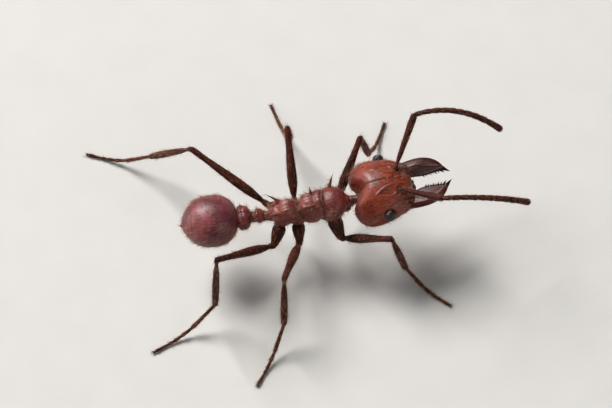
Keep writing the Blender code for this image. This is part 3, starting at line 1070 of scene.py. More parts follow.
@dataclass
class Coat:
    """The hairs of one region, gathered from its shells into one piece."""

    name: str
    slot: Slot
    seed: int  # the number that its chances are drawn from
    steps: int = 4  # rings along each hair, before its tip
    sides: int = 3  # points in each ring
    patch: float = 0.003  # the size of each hair's own place on the map
    used: float = 0.96  # the share of a shell's cell on the map that its hairs take up
    lifts: Two = (0.75, 1.2)  # the least and the greatest lift, as shares of the usual one
    lengths: Two = (0.6, 1.15)  # the same for their length
    blunt: float = 0.6  # how late a hair grows thin: 1 is a straight cone
    grown: list[Points] = field(default_factory=list)  # the points of the hairs of each shell
    # How far around and along its shell each hair's root is, for each shell.
    maps: list[tuple[Points, Points]] = field(default_factory=list)

    def __post_init__(self) -> None:
        """Starts the coat's chances."""
        self.draw = np.random.default_rng(self.seed)

    def grow(
        self, form: Form, hairs: Hairs, lie: PerPlace, unwrap: Unwrap, where: PerPlace | None = None
    ) -> None:
        """Grows hairs on a form.

        Args:
            form: The shell.
            hairs: How they grow.
            lie: Takes places and returns the way that hairs lie there.
            unwrap: Takes places and returns how far around the shell and along it they are.
            where: Takes places and returns how likely a hair is there, from 0 to 1.
        """
        tries = 3 if where else 1
        roots, normals = self.scatter(form, hairs.count * tries)
        if where:
            kept = self.draw.random(len(roots)) < where(roots)
            roots, normals = roots[kept][: hairs.count], normals[kept][: hairs.count]
        count = len(roots)
        along = lie(roots) + self.draw.normal(size=(count, 3)) * hairs.spread
        along = unit(along - normals * (along * normals).sum(axis=1, keepdims=True))
        lift = np.radians(hairs.lift * self.draw.uniform(*self.lifts, (count, 1)))
        start = along * np.cos(lift) + normals * np.sin(lift)
        length = hairs.length * self.draw.uniform(*self.lengths, (count, 1))
        across = unit(np.cross(start, normals))
        up = np.cross(start, across)
        rings = []
        for step in range(self.steps):
            u = step / self.steps
            middle = roots - normals * hairs.width + length * (start * u + along * hairs.curl * u**2)
            radius = hairs.width / 2 * (1 - u) ** self.blunt
            for turn in np.arange(self.sides) / self.sides * TAU:
                rings.append(middle + (across * math.cos(turn) + up * math.sin(turn)) * radius)
        rings.append(roots + length * (start + along * hairs.curl))
        grown = np.stack(rings, axis=1)
        over_floor = grown[:, :, 2].min(axis=1) > 0
        self.grown.append(grown[over_floor])
        self.maps.append(unwrap(roots[over_floor]))

    def scatter(self, form: Form, count: int) -> tuple[Points, Points]:
        """Spreads places evenly over a form.

        Args:
            form: The form.
            count: How many places are wanted.

        Returns:
            The places, and the form's outward direction at each.
        """
        corners = [(face[0], face[k], face[k + 1]) for face in form.faces for k in range(1, len(face) - 1)]
        triangles = form.points[np.array(corners)]
        cross = np.cross(triangles[:, 1] - triangles[:, 0], triangles[:, 2] - triangles[:, 0])
        area = np.linalg.norm(cross, axis=1)
        owners = self.draw.choice(len(area), count, p=area / area.sum())
        a, b = self.draw.random((2, count, 1))
        outside = a + b > 1
        a, b = np.where(outside, 1 - a, a), np.where(outside, 1 - b, b)
        corner = triangles[owners]
        roots = corner[:, 0] + (corner[:, 1] - corner[:, 0]) * a + (corner[:, 2] - corner[:, 0]) * b
        return roots, unit(cross[owners])

    def hair_faces(self) -> Faces:
        """Faces of one hair: a tube that ends in a point.

        Returns:
            The faces, pointing out.
        """
        tip = self.steps * self.sides
        faces = []
        for a in range(0, tip, self.sides):
            for k in range(self.sides):
                n, b = (k + 1) % self.sides, a + self.sides
                faces.append((a + k, a + n, tip) if b == tip else (a + k, a + n, b + n, b + k))
        return [*faces, tuple(reversed(range(self.sides)))]

    def add(self) -> None:
        """Makes the coat's piece, with its map of where each hair's root lies on the shells."""
        points = np.concatenate(self.grown)
        count, size = points.shape[:2]
        one = self.hair_faces()
        faces = [tuple(number + size * i for number in face) for i in range(count) for face in one]
        along = np.append(np.repeat(np.arange(self.steps) / self.steps, self.sides), 1.0)
        form = Form(points.reshape(-1, 3), faces, np.tile(1 - along, count))
        piece = add_piece(self.name, form, AMBER_SETA, self.slot)
        cells = [
            np.stack([(cell + self.used * around) / len(self.maps), upward], axis=1)
            for cell, (around, upward) in enumerate(self.maps)
        ]
        places = np.clip(np.concatenate(cells), 0, 1 - self.patch)
        owners = np.empty(len(piece.data.loops), np.int32)
        piece.data.loops.foreach_get("vertex_index", owners)
        hair, number = owners // size, owners % size
        aside = np.where(number == size - 1, 0.5, (number % self.sides) / (self.sides - 1))
        offset = np.stack([aside, along[number]], axis=1) * self.patch
        layer = piece.data.uv_layers.new(name="OFBake")
        layer.data.foreach_set("uv", (places[hair] + offset).astype(np.float32).ravel())


@dataclass
class HairyPart:
    """A part of the body whose shells carry hairs."""

    place: Matrix = field(default_factory=Matrix)  # where the part's own coordinates lie in the frame
    hairs: tuple[Hairs, ...] = ()  # one kind for each shell
    lie: Place = (-1, 0, 0.1)  # the way that they lie, in the part's own coordinates
    axis: Place = (0, 0, 2.6)  # a point on the shells' long axis
    span: Two = (0, 0)  # where the unwrap starts and ends along X, in the frame
    forms: list[Form] = field(default_factory=list)  # the finished shells, in the frame
    hair_share: ClassVar[PerPlace | None] = None  # how likely a hair is, where that isn't even

    def add_shell(self, name: str, form: Form, finish: Finish, slot: Slot, node: str) -> None:
        """Adds a shell, shaped in the part's own coordinates, that stands for a solid."""
        self.forms.append(form.moved(self.place))
        add_piece(name, self.forms[-1], finish, slot, [node])

    def lies(self, places: Points) -> Points:
        """The way that hairs lie at each place."""
        return np.tile(np.array(self.place.to_3x3()) @ self.lie, (len(places), 1))

    def unwrap(self, places: Points) -> tuple[Points, Points]:
        """Unwraps the shells round their long axis.

        Args:
            places: Places on them.

        Returns:
            How far around the axis and how far along it each place is, from 0 to 1.
        """
        middle, (start, end) = self.place @ Vector(self.axis), self.span
        around = np.arctan2(places[:, 2] - middle[2], places[:, 1] - middle[1]) / TAU + 0.5
        return around, np.clip((places[:, 0] - start) / (end - start), 0, 1)

    def grow_hairs(self, coat: Coat) -> None:
        """Grows the hairs of the shells into their coat."""
        for form, hairs in zip(self.forms, self.hairs):
            coat.grow(form, hairs, self.lies, self.unwrap, self.hair_share)


# ---------------- head


@dataclass
class Head(HairyPart):
    """The head capsule, heart-shaped from above, in its own frame: origin at its middle, +X to the mouth."""

    length: float = 2.35  # from the lobes behind to the clypeus
    width: float = 2.5  # across the lobes
    rise: float = 0.92  # from its middle line to its top
    drop: float = 0.72  # from its middle line to its underside
    taper: float = 0.13  # how much narrower it grows towards the mouth
    slope: float = 0.2  # how much flatter it grows towards the mouth
    notch_depth: float = 0.36  # the depth of the notch between the lobes
    notch_width: float = 0.42  # the half width of the notch
    furrow: float = 0.2  # the depth of the furrow that leads to the notch
    inset: float = 0.985  # the shell's size as a share of its solid's
    pitch: float = 12.0  # how far it is raised, in degrees
    yaw: float = 4.0  # how far it is turned to the left, in degrees
    eye_towards: Place = (0.16, 0.95, 0.27)  # the direction of the left eye
    antenna_at: Place = (0.7, 0.36, 0.5)  # the left antenna's socket
    # The course and the radii of each short feeler on the left of the mouth.
    palps: tuple = (
        ((1.0, 0.26, -0.44), (1.14, 0.33, -0.54), (1.13, 0.22, -0.74),
         (0.024, 0.022, 0.026, 0.022, 0.026, 0.012)),
        ((1.08, 0.07, -0.43), (1.15, 0.09, -0.52), (1.13, 0.06, -0.63), (0.02, 0.018, 0.022, 0.01)),
    )
    details: tuple[Detail, ...] = (
        # The line down the brow, and the small triangle that it ends in.
        Seam(((-0.95, 0, 0.4), (-0.5, 0, 0.8), (0.1, 0, 0.85), (0.42, 0, 0.78)), 0.022, 0.022, 0.5, False),
        Seam(((0.5, 0, 0.72), (0.66, 0.1, 0.62), (0.5, 0, 0.72), (0.66, -0.1, 0.62)),
             0.022, 0.02, 0.4, False),
        # The edge of the clypeus, the keel in front of the eye, and the keel and furrow behind the antenna.
        Seam(((0.62, 0.12, 0.62), (0.86, 0.24, 0.42), (0.88, 0.44, 0.26), (1.0, 0.55, 0.08)),
             0.022, 0.024, 0.55),
        Seam(((0.95, 0.72, 0.1), (0.72, 0.74, 0.34), (0.42, 0.8, 0.46), (0.22, 0.92, 0.46)),
             0.024, -0.026, 0.35),
        Seam(((0.62, 0.2, 0.66), (0.36, 0.3, 0.8), (0.12, 0.42, 0.84), (-0.05, 0.52, 0.8)),
             0.03, -0.034, 0.25),
        Pit((0.36, 0.5, 0.72), (0.3, 0.13, 0.2), 0.035, 0.1),
        # The seam of the throat.
        Seam(((1.02, 0.45, -0.35), (0.6, 0.52, -0.6), (0.1, 0.35, -0.72), (-0.5, 0.12, -0.6)),
             0.022, 0.02, 0.4),
    )
    hairs: tuple[Hairs, ...] = (Hairs(1050, 0.15, 0.012),)
    lie: Place = (1, 0, -0.1)
    axis: Place = (0, 0, 0)
    span: Two = (1.4, 4.0)

    def surface(self, way: Points) -> Points:
        """The capsule without its details.

        Args:
            way: Unit vectors.

        Returns:
            Where the surface lies in each direction.
        """
        share = way[:, 0]
        ring = np.maximum(np.hypot(way[:, 1], way[:, 2]), 1e-9)
        y_way, z_way = way[:, 1] / ring, way[:, 2] / ring
        y = self.width / 2 * rounded(share, 2.6) * (1 - self.taper * share) * y_way
        reach = np.where(z_way > 0, self.rise, self.drop)
        z = reach * rounded(share, 2.2) * (1 - self.slope * share) * z_way
        behind = ease(share, -0.05, -0.95)
        midline = hump(y, self.notch_width)
        x = self.length / 2 * share + self.notch_depth * midline * behind
        z -= np.where(z_way > 0, self.furrow * midline * behind * z_way, 0)
        return np.stack([x, y, z], axis=1) * self.inset

    def at(self, way: Place) -> Points:
        """The capsule's surface in one direction."""
        return self.surface(unit(np.array([way], float)))[0]

    def find_place(self) -> None:
        """Sets the head's place from the two eyes' solids."""
        eyes = [np.mean(node_box(f"eye_{side.word}"), axis=0) for side in Side]
        between = self.at(self.eye_towards) / self.inset * (1, 0, 1)
        turn = tilt(self.yaw, "Z") @ tilt(-self.pitch, "Y")
        shift = Matrix.Translation(Vector(np.mean(eyes, axis=0)))
        self.place = shift @ turn @ Matrix.Translation(-Vector(between))

    def spines(self) -> list[Thorn]:
        """The spine on the left lobe behind, and the low point before it."""
        return [
            Thorn(self.at((-0.8, 0.48, 0.36)), (-0.72, 0.42, 0.55), 0.2, 0.085, (0, 0, 0.03)),
            Thorn(self.at((-0.28, 0.55, 0.8)), (-0.3, 0.35, 0.85), 0.07, 0.05),
        ]

    def parts(self) -> list[Form]:
        """The forms that the capsule is fused from.

        Returns:
            The capsule, the shield over the mouth with its thin front edge, and on both sides the frontal
            lobe, the jaw's joint and the cheek below the eye.
        """
        x, y, z = self.antenna_at
        brow = tilt(-16, "Z") @ (tilt(-24, "X") @ tilt(10, "Y"))
        edge = bent((0.98, -0.52, 0.06), (1.26, 0, 0.02), (0.98, 0.52, 0.06), 24)
        left = [
            egg((x - 0.1, y - 0.09, z + 0.095), (0.27, 0.135, 0.05), brow),
            egg((0.92, 0.6, -0.1), (0.24, 0.22, 0.24)),
            egg((0.6, 0.86, -0.06), (0.42, 0.17, 0.3), tilt(-12, "Z")),
        ]
        shield = [egg((0.92, 0, 0.14), (0.24, 0.44, 0.24)), swept(edge, (0.05, 0.062, 0.062, 0.05), 16, 0.8)]
        return [ball(self.surface, 160, 120), *shield, *both(left)]

    def mouthparts(self) -> Form:
        """The lip, the tongue case behind it and the two pairs of short feelers at the mouth.

        Returns:
            The form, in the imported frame.
        """
        left = [egg((1.1, 0.1, -0.19), (0.1, 0.125, 0.12)), egg((0.92, 0.22, -0.38), (0.27, 0.1, 0.13))]
        left += [swept(bent(*course, 12), radii, 10) for *course, radii in self.palps]
        middle = [egg((1.06, 0, -0.36), (0.16, 0.13, 0.12)), egg((0.9, 0, -0.46), (0.3, 0.21, 0.14))]
        return together([*middle, *both(left)]).toned(0.15).moved(self.place)

    def tan(self, plate: Plate) -> None:
        """Darkens the mouth's edge, the jaws' joints, the backs of the lobes, the nape and the spines.

        Args:
            plate: The fused skin, in the head's frame.
        """
        x, y, z = plate.points.T
        plate.darken(0.8 * hump(x - 1.14, 0.05) * hump(y, 0.5) * ease(z, -0.15, 0.0))
        corners = np.hypot(np.abs(x) - 1.04, np.abs(y) - 0.64)
        plate.darken(0.7 * hump(corners, 0.2))
        plate.darken_near([(-0.8, 0, -0.06)], 0.3, 0.75)
        spines = self.spines()
        out = unit(np.array(spines[0].way)) * 0.14
        plate.darken_near([spine.foot + out for spine in spines], 0.085, 0.85)

    def build(self) -> None:
        """Makes the capsule and the mouthparts, and adds them."""
        self.find_place()
        x, y, z = self.antenna_at
        sockets = (
            # The hollow of the mouth; its darkness is painted shade inside the hollow.
            Pit((1.1, 0, -0.27), (0.34, 0.4, 0.22), 0.15, 0.85, paired=False),
            Pit((x + 0.06, y + 0.04, z + 0.01), 0.135, 0.075, 0.75),
            Pit(self.at(self.eye_towards), 0.235, 0.03, 0.55),
        )
        plate = Plate(self.parts(), both(self.spines()), voxel=0.018, relax=6)
        plate.grain(0.5, 0.006, seed=11)
        plate.grain(0.14, 0.003, seed=12)
        plate.press(sockets + self.details)
        self.tan(plate)
        self.add_shell("head_capsule", plate.form(), HEAD_CUTICLE, Slot.HEAD, "head")
        add_piece("mouthparts", self.mouthparts(), LEG_CUTICLE, Slot.HEAD)

    def hair_share(self, places: Points) -> Points:
        """How likely a hair is at each place: hairs are few on the lower half of the head."""
        return 0.25 + 0.75 * ease(places[:, 2], 2.15, 2.55)


@dataclass
class Eye:
    """A compound eye: a low dome of small lenses, set in its rim."""

    head: Head
    side: Side
    radius: float = 0.205  # its radius across the head
    bulge: float = 0.165  # how far it stands out
    lenses: int = 640  # on the whole ball, of which about half shows
    seam: float = 0.05  # how deep the seams between the lenses are, as a share of the dome

    def lattice(self) -> Points:
        """Spreads the lenses evenly over a ball, along a spiral.

        Returns:
            The middles of the lenses.
        """
        golden_angle = math.pi * (3 - math.sqrt(5))
        number = np.arange(self.lenses) + 0.5
        height = 1 - 2 * number / self.lenses
        turn = number * golden_angle
        ring = np.sqrt(1 - height**2)
        return np.stack([height, ring * np.cos(turn), ring * np.sin(turn)], axis=1)

    def build(self) -> None:
        """Makes the eye and adds it."""
        # On a ball of radius 1, a disc with the area of a lens has the radius 2 / sqrt(lenses).
        reach = 0.95 * 2 / math.sqrt(self.lenses)
        form = ball(lambda way: way, 128, 96)
        gap = np.sqrt(np.maximum(2 - 2 * (form.points @ self.lattice().T).max(axis=1), 0))
        lens = np.clip(gap / reach, 0, 1) ** 2
        dome = form.points * (1 - self.seam * lens)[:, None] * (self.bulge, self.radius, self.radius)
        way = Vector(self.side.place(self.head.eye_towards)).normalized()
        seat = Matrix.Translation(Vector(self.head.at(way) / self.head.inset))
        turn = way.to_track_quat("X", "Z").to_matrix().to_4x4()
        name = f"eye_{self.side.word}"
        form = Form(dome, form.faces, lens).moved(self.head.place @ seat @ turn)
        add_piece(f"compound_{name}", form, EYE_LENS, Slot.EYES, [name])


@dataclass
class Jaw:
    """A mandible: a bowed blade, thick outside and thin at its toothed edge."""

    head: Head
    side: Side
    joint: Place = (0.98, 0.63, -0.14)  # where it is hinged, in the head's frame, on the left
    gape: float = 6.0  # how far it is opened, in degrees
    length: float = 1.45  # from its joint to its tip
    bow: float = 0.18  # how far it bows down towards its tip
    thickness: float = 0.2  # half its thickness at the joint
    # The place on the edge, length and radius of each tooth, from the tip inwards.
    teeth: Rows = (
        (0, 0.2, 0.085),
        (0.17, 0.15, 0.07),
        (0.31, 0.1, 0.052),
        (0.43, 0.12, 0.055),
        (0.54, 0.08, 0.045),
        (0.65, 0.1, 0.048),
        (0.76, 0.07, 0.042),
        (0.87, 0.08, 0.044),
        (0.98, 0.09, 0.05),
    )
    keels: tuple[Seam, ...] = (
        Seam(((0.05, 0, 0.22), (0.45, 0, 0.15), (0.85, -0.22, 0.06), (1.22, -0.3, -0.05)), 0.03, -0.009),
        Seam(((0.05, 0.17, 0.22), (0.45, 0.17, 0.15), (0.85, 0.04, 0.06), (1.22, -0.3, -0.05)), 0.03, -0.009),
    )

    def dropped(self, points: Points) -> Points:
        """Places on the flat blade, moved to where it bows down towards its tip."""
        forward = np.clip(points[:, :1] / self.length, 0, 1)
        return points - np.array((0, 0, self.bow)) * forward**2

    def blade(self) -> Form:
        """The blade without its teeth, between its outer curve and its inner edge.

        Returns:
            The form, for the left side.
        """
        steps, sides = 44, 28
        outer = bent((-0.3, 0.27, 0), (1.16, 0.52, 0), (1.38, -0.46, 0), steps)
        corners = [(-0.3, -0.24, 0), (0.1, -0.36, 0), (0.46, -0.47, 0), (0.6, -0.49, 0), (1.34, -0.5, 0)]
        inner = even_steps(corners, 0.001)
        inner = inner[np.linspace(0, len(inner) - 1, steps + 1).astype(int)]
        forward = np.linspace(0, 1, steps + 1)[:, None, None]
        angle = (np.arange(sides) / sides * TAU)[None, :, None]
        acrosses = ((outer - inner) / 2)[:, None] * np.cos(angle)
        wedge = 0.22 + 0.78 * ((1 + np.cos(angle)) / 2) ** 0.9
        ups = np.array((0, 0, 1.0)) * np.sin(angle) * (self.thickness * (1 - 0.7 * forward) * wedge)
        form = lofted((outer + inner) / 2, acrosses, ups)
        return replace(form, points=self.dropped(form.points))

    def tooth(self, share: float, length: float, radius: float) -> Thorn:
        """One tooth.

        Args:
            share: Its place on the edge, from 0 at the tip to 1.
            length: Its length.
            radius: The radius of its foot.

        Returns:
            The tooth, a straight cone that points forward near the tip and inwards from there on.
        """
        foot = self.dropped(np.array([(1.35 - 0.8 * share, -0.47, 0)]))[0]
        way = (0.85 - 0.75 * min(share * 3, 1), -1.0, -0.05)
        tooth = Thorn(foot, way, length, radius, (0.03, 0, 0), dark=(0.85, 0.95), flare=0.95)
        return tooth.mirrored(self.side)

    def build(self) -> None:
        """Makes the mandible and adds it."""
        forms = [self.blade(), egg((-0.06, 0.03, 0), (0.26, 0.25, 0.19))]
        teeth = [self.tooth(*row) for row in self.teeth]
        plate = Plate([form.mirrored(self.side) for form in forms], teeth, voxel=0.013, relax=3)
        plate.press(self.keels, [self.side])
        x, y, _ = self.side.place(plate.points).T
        plate.darken(0.85 * ease(y, -0.3, -0.52) * ease(x, 0.35, 0.6))
        plate.darken_near([(0, 0, 0)], 0.22, 0.6)
        hinge = Matrix.Translation(Vector(self.side.place(self.joint)))
        place = self.head.place @ (hinge @ tilt(self.gape * self.side.value, "Z"))
        name = f"mandible_{self.side.word}"
        add_piece(f"toothed_{name}", plate.form().moved(place), JAW_CUTICLE, Slot.MANDIBLES, [name])


@dataclass
class Antenna:
    """An elbowed antenna: a long scape, then a pedicel and nine short segments."""

    head: Head
    side: Side
    scape_length: float = 2.15  # from the socket to the elbow
    whip_length: float = 3.3  # from the elbow along the rest
    bend: Place = (0.5, 0.07, 0.05)  # where the rest heads from the elbow, in lengths of it
    tip: Place = (0.93, -0.065, -0.46)  # where it ends, likewise
    overlap: Two = (0.04, 0.05)  # how far the scape reaches past the socket and the elbow
    whip_radii: Two = (0.088, 0.118)  # the radius of the rest at its start and at its end
    # The scape's radius at shares of its length.
    scape_rows: Rows = (
        (0, 0.085), (0.05, 0.1), (0.09, 0.072), (0.3, 0.088), (0.6, 0.108), (0.88, 0.128), (1, 0.105),
    )
    # Where the segments after the elbow meet, on a line that ends at the last number.
    joints: Row = (0, 0.24, 0.54, 0.82, 1.09, 1.36, 1.63, 1.91, 2.2, 2.5, 3.2)
    # The shape of one of them.
    bead: Rows = ((0, 0.72), (0.12, 0.93), (0.5, 1.0), (0.85, 1.04), (0.95, 0.98), (1, 0.72))
    # How far the scape is turned out and raised on the left and on the right, in degrees.
    leans: tuple[Row, Row] = ((48, 26), (39, 19))
    hairs: tuple[Hairs, Hairs] = (Hairs(170, 0.13, 0.011, 40), Hairs(620, 0.085, 0.01, 28))

    def lean(self) -> Points:
        """The scape's direction in the frame.

        Returns:
            A unit vector.
        """
        out, up = np.radians(self.leans[0 if self.side is Side.LEFT else 1])
        way = (math.cos(out) * math.cos(up), math.sin(out) * math.cos(up), math.sin(up))
        return np.array(self.head.place.to_3x3() @ Vector(self.side.place(way)))

    def build(self, coat: Coat) -> None:
        """Makes both pieces and their hairs, and adds the pieces.

        Args:
            coat: The coat of the antennae.
        """
        root = np.array(self.head.place @ Vector(self.side.place(self.head.antenna_at)))
        elbow = root + self.lean() * self.scape_length
        bend = elbow + self.side.place(self.bend) * self.whip_length
        tip = elbow + self.side.place(self.tip) * self.whip_length
        scape = Middle.between(root, elbow, *self.overlap)
        whip = Middle(bent(elbow, bend, tip))
        joints = tuple(np.array(self.joints) / self.joints[-1])
        name = f"antenna_{self.side.word}"
        parts = (
            ("long_scape", "scape", scape, limb_form(scape, self.scape_rows)),
            ("ten_segments", "flagellum", whip, beaded_form(whip, joints, self.whip_radii, self.bead)),
        )
        for (piece, node, line, form), hairs in zip(parts, self.hairs):
            add_piece(f"{name}_{piece}", form, LEG_CUTICLE, Slot.LEGS, [f"{name}_{node}"])
            coat.grow(form, hairs, line.lie, line.unwrap)


# ---------------- body


@dataclass
class Thorax(HairyPart):
    """The middle body: its back and side plates, their seams and four pairs of spines."""

    # The spines on the left: shoulder, lower shoulder, back and rear.
    spines: tuple[Thorn, ...] = (
        Thorn((0.98, 0.46, 3.06), (0.3, 0.62, 0.72), 0.52, 0.1, (0.06, 0.02, 0.02), 18),
        Thorn((1.05, 0.56, 2.42), (0.45, 0.75, -0.48), 0.24, 0.075, (0.03, 0, 0.02), 18),
        Thorn((0.3, 0.28, 3.18), (0.05, 0.45, 0.88), 0.26, 0.085, (-0.03, 0, 0), 18),
        Thorn((-0.85, 0.25, 2.86), (-0.72, 0.38, 0.58), 0.56, 0.1, (-0.05, 0, -0.03), 18),
    )
    details: tuple[Detail, ...] = (
        # Behind and below the pronotum, with the raised rim before it.
        Seam(((0.6, 0, 3.28), (0.66, 0.3, 3.18), (0.7, 0.55, 2.85), (0.66, 0.56, 2.55)), 0.022, 0.03, 0.6),
        Seam(((0.66, 0, 3.28), (0.73, 0.3, 3.16), (0.77, 0.55, 2.85)), 0.022, -0.014),
        Seam(((0.66, 0.56, 2.55), (0.95, 0.6, 2.4), (1.35, 0.4, 2.42), (1.55, 0.26, 2.45)),
             0.022, 0.022, 0.45),
        # The deep groove across the back, the keels behind and before it, and the collar's edge.
        Seam(((-0.2, 0, 2.96), (-0.18, 0.3, 2.86), (-0.1, 0.42, 2.62)), 0.05, 0.07, 0.6),
        Seam(((-0.32, 0.17, 2.99), (-0.55, 0.2, 3.02), (-0.8, 0.23, 2.98)), 0.03, -0.022),
        Seam(((0.26, 0.26, 3.16), (0.12, 0.25, 3.14), (0, 0.23, 3.08)), 0.028, -0.02),
        Seam(((1.66, 0, 2.95), (1.66, 0.15, 2.89), (1.66, 0.21, 2.74), (1.66, 0.15, 2.59), (1.66, 0, 2.53)),
             0.022, 0.02, 0.7),
        # Down and along the flank.
        Seam(((-0.1, 0.42, 2.62), (-0.05, 0.46, 2.4), (-0.02, 0.4, 2.15)), 0.022, 0.026, 0.5),
        Seam(((0.62, 0.5, 2.62), (0.25, 0.5, 2.6), (-0.1, 0.44, 2.56)), 0.022, 0.018, 0.4),
        Seam(((-0.14, 0.4, 2.56), (-0.55, 0.41, 2.5), (-1.0, 0.36, 2.52)), 0.022, 0.02, 0.4),
        # The dips along the middle of the back.
        Seam(((0.1, 0, 3.22), (0.45, 0, 3.28), (0.6, 0, 3.28)), 0.03, 0.01, 0.2, False),
        Seam(((-0.4, 0, 3.02), (-0.75, 0, 3.03), (-1.0, 0, 2.9)), 0.07, 0.028, 0.15, False),
        # Two breathing holes, and the mouth of the gland over the hind leg.
        Pit((-0.66, 0.41, 2.66), 0.045, 0.022, 0.9),
        Pit((-0.02, 0.43, 2.7), 0.035, 0.018, 0.8),
        Pit((-1.04, 0.3, 2.3), 0.06, 0.02, 0.6),
    )
    hairs: tuple[Hairs, ...] = (Hairs(1150, 0.17, lift=58),)
    span: Two = (-1.5, 2.1)

    def parts(self) -> list[Form]:
        """The forms that the thorax is fused from.

        Returns:
            The plates down the middle, each with its own swell, with the neck's collar and the joint behind;
            then on both sides the flank's plates, the sockets of the legs and the feet of the spines.
        """
        neck = [(1.15, 0, 2.7), (1.48, 0, 2.73), (1.8, 0, 2.74), (2.12, 0, 2.74)]
        collar = (0.36, 0.34, 0.3, 0.262, 0.245, 0.248, 0.19, 0.168, 0.165, 0.165, 0.172, 0.18, 0.19)
        rear = [(-0.85, 0, 2.45), (-1.1, 0, 2.42), (-1.29, 0, 2.42)]
        middle = [
            egg((1.0, 0, 2.77), (0.58, 0.6, 0.48)),
            egg((0.56, 0, 2.76), (0.44, 0.54, 0.5)),
            egg((0.24, 0, 2.86), (0.44, 0.42, 0.36)),
            egg((0.2, 0, 2.36), (0.66, 0.3, 0.32)),
            egg((-0.24, 0, 2.52), (0.4, 0.37, 0.4)),
            egg((-0.6, 0, 2.6), (0.44, 0.42, 0.43)),
            egg((-0.88, 0, 2.52), (0.36, 0.38, 0.36)),
            egg((1.5, 0, 2.58), (0.34, 0.2, 0.18)),
            swept(even_steps(neck, 0.02), collar, 32),
            swept(rear, (0.34, 0.24, 0.21), 32),
        ]
        lean = tilt(18, "Y")
        left = [
            egg((0.92, 0.3, 2.62), (0.46, 0.3, 0.42), lean),
            egg((0.24, 0.27, 2.48), (0.4, 0.23, 0.37), lean),
            egg((-0.34, 0.22, 2.34), (0.36, 0.19, 0.26), lean),
            egg((-0.76, 0.22, 2.36), (0.38, 0.19, 0.23)),
            egg((1.02, 0.3, 2.33), (0.3, 0.2, 0.19)),
            egg((-0.26, 0.27, 2.24), (0.25, 0.19, 0.19)),
            egg((-0.86, 0.27, 2.27), (0.27, 0.19, 0.19)),
            egg((-1.0, 0.2, 2.74), (0.16, 0.11, 0.14)),
            egg((0.02, 0.22, 3.08), (0.1, 0.07, 0.07)),
            egg((1.44, 0.19, 2.5), (0.24, 0.1, 0.15)),
        ]
        return [*middle, *both(left)]

    def tan(self, plate: Plate) -> None:
        """Darkens the spines, the neck, the joint behind and the sockets of the legs.

        Args:
            plate: The fused skin, in the ant's coordinates.
        """
        for spine in self.spines:
            plate.darken_near(spine.at(np.array([[0.7], [1.0]])), 0.14, 0.85)
        # The neck is darker: partly a dark joint, partly painted shade where the head overhangs it.
        plate.darken(0.55 * ease(plate.points[:, 0], 1.62, 1.72))
        plate.darken_near([(-1.3, 0, 2.42)], 0.16, 0.7)
        plate.darken_near([(1.02, 0.38, 2.16), (-0.27, 0.36, 2.08), (-0.9, 0.36, 2.12)], 0.17, 0.5)

    def build(self) -> None:
        """Makes the thorax and adds it."""
        plate = Plate(self.parts(), both(self.spines), voxel=0.0165, relax=7)
        plate.grain(0.34, 0.01, seed=21)
        plate.grain(0.13, 0.004, seed=22)
        plate.press(self.details)
        plate.fold(1.69, 2.1, spacing=0.066, height=0.007)
        self.tan(plate)
        self.add_shell("thorax_plates", plate.form(), THORAX_CUTICLE, Slot.THORAX, "thorax")


@dataclass(frozen=True)
class Knot:
    """One knot of the waist, in the ant's coordinates."""

    node: str  # the solid that it stands for
    forms: tuple[Form, ...]  # the forms that it is fused from
    points: tuple[Thorn, ...]  # the low points on its left
    details: tuple[Detail, ...]
    voxel: float  # the size of its skin's faces
    grain: tuple[float, float, int]  # the size, the height and the seed of its swells
    ends: Two  # where it meets its neighbours, along X

    def form(self) -> Form:
        """Makes the knot.

        Returns:
            Its shell, in the ant's coordinates.
        """
        plate = Plate(self.forms, both(self.points), self.voxel, relax=5)
        plate.grain(*self.grain)
        plate.press(self.details)
        for end in self.ends:
            plate.darken(0.65 * hump(plate.points[:, 0] - end, 0.06))
        return plate.form()


# A short stalk and a blunt saddle with a low tubercle on each side.
PETIOLE = Knot(
    node="petiole",
    forms=(
        swept([(-1.26, 0, 2.41), (-1.42, 0, 2.41), (-1.6, 0, 2.43), (-1.88, 0, 2.45)],
              (0.175, 0.17, 0.2, 0.2), 28),
        egg((-1.63, 0, 2.49), (0.2, 0.26, 0.25)),
        egg((-1.69, 0, 2.63), (0.085, 0.215, 0.155)),
        egg((-1.46, 0, 2.27), (0.11, 0.06, 0.05)),
        *both([egg((-1.46, 0.17, 2.44), (0.08, 0.05, 0.05))]),
    ),
    points=(Thorn((-1.68, 0.15, 2.7), (-0.3, 0.3, 0.9), 0.06, 0.05),),
    details=(
        Seam(((-1.44, 0, 2.6), (-1.46, 0.16, 2.52), (-1.46, 0.17, 2.36)), 0.02, 0.012, 0.35),
        Seam(((-1.5, 0.2, 2.6), (-1.64, 0.2, 2.68), (-1.76, 0.2, 2.64)), 0.022, -0.014),
        Seam(((-1.72, 0, 2.78), (-1.62, 0, 2.77), (-1.52, 0, 2.66)), 0.05, 0.016, paired=False),
        Pit((-1.46, 0.21, 2.44), 0.025, 0.012, 0.8),
    ),
    voxel=0.014,
    grain=(0.14, 0.004, 31),
    ends=(-1.28, -1.88),
)

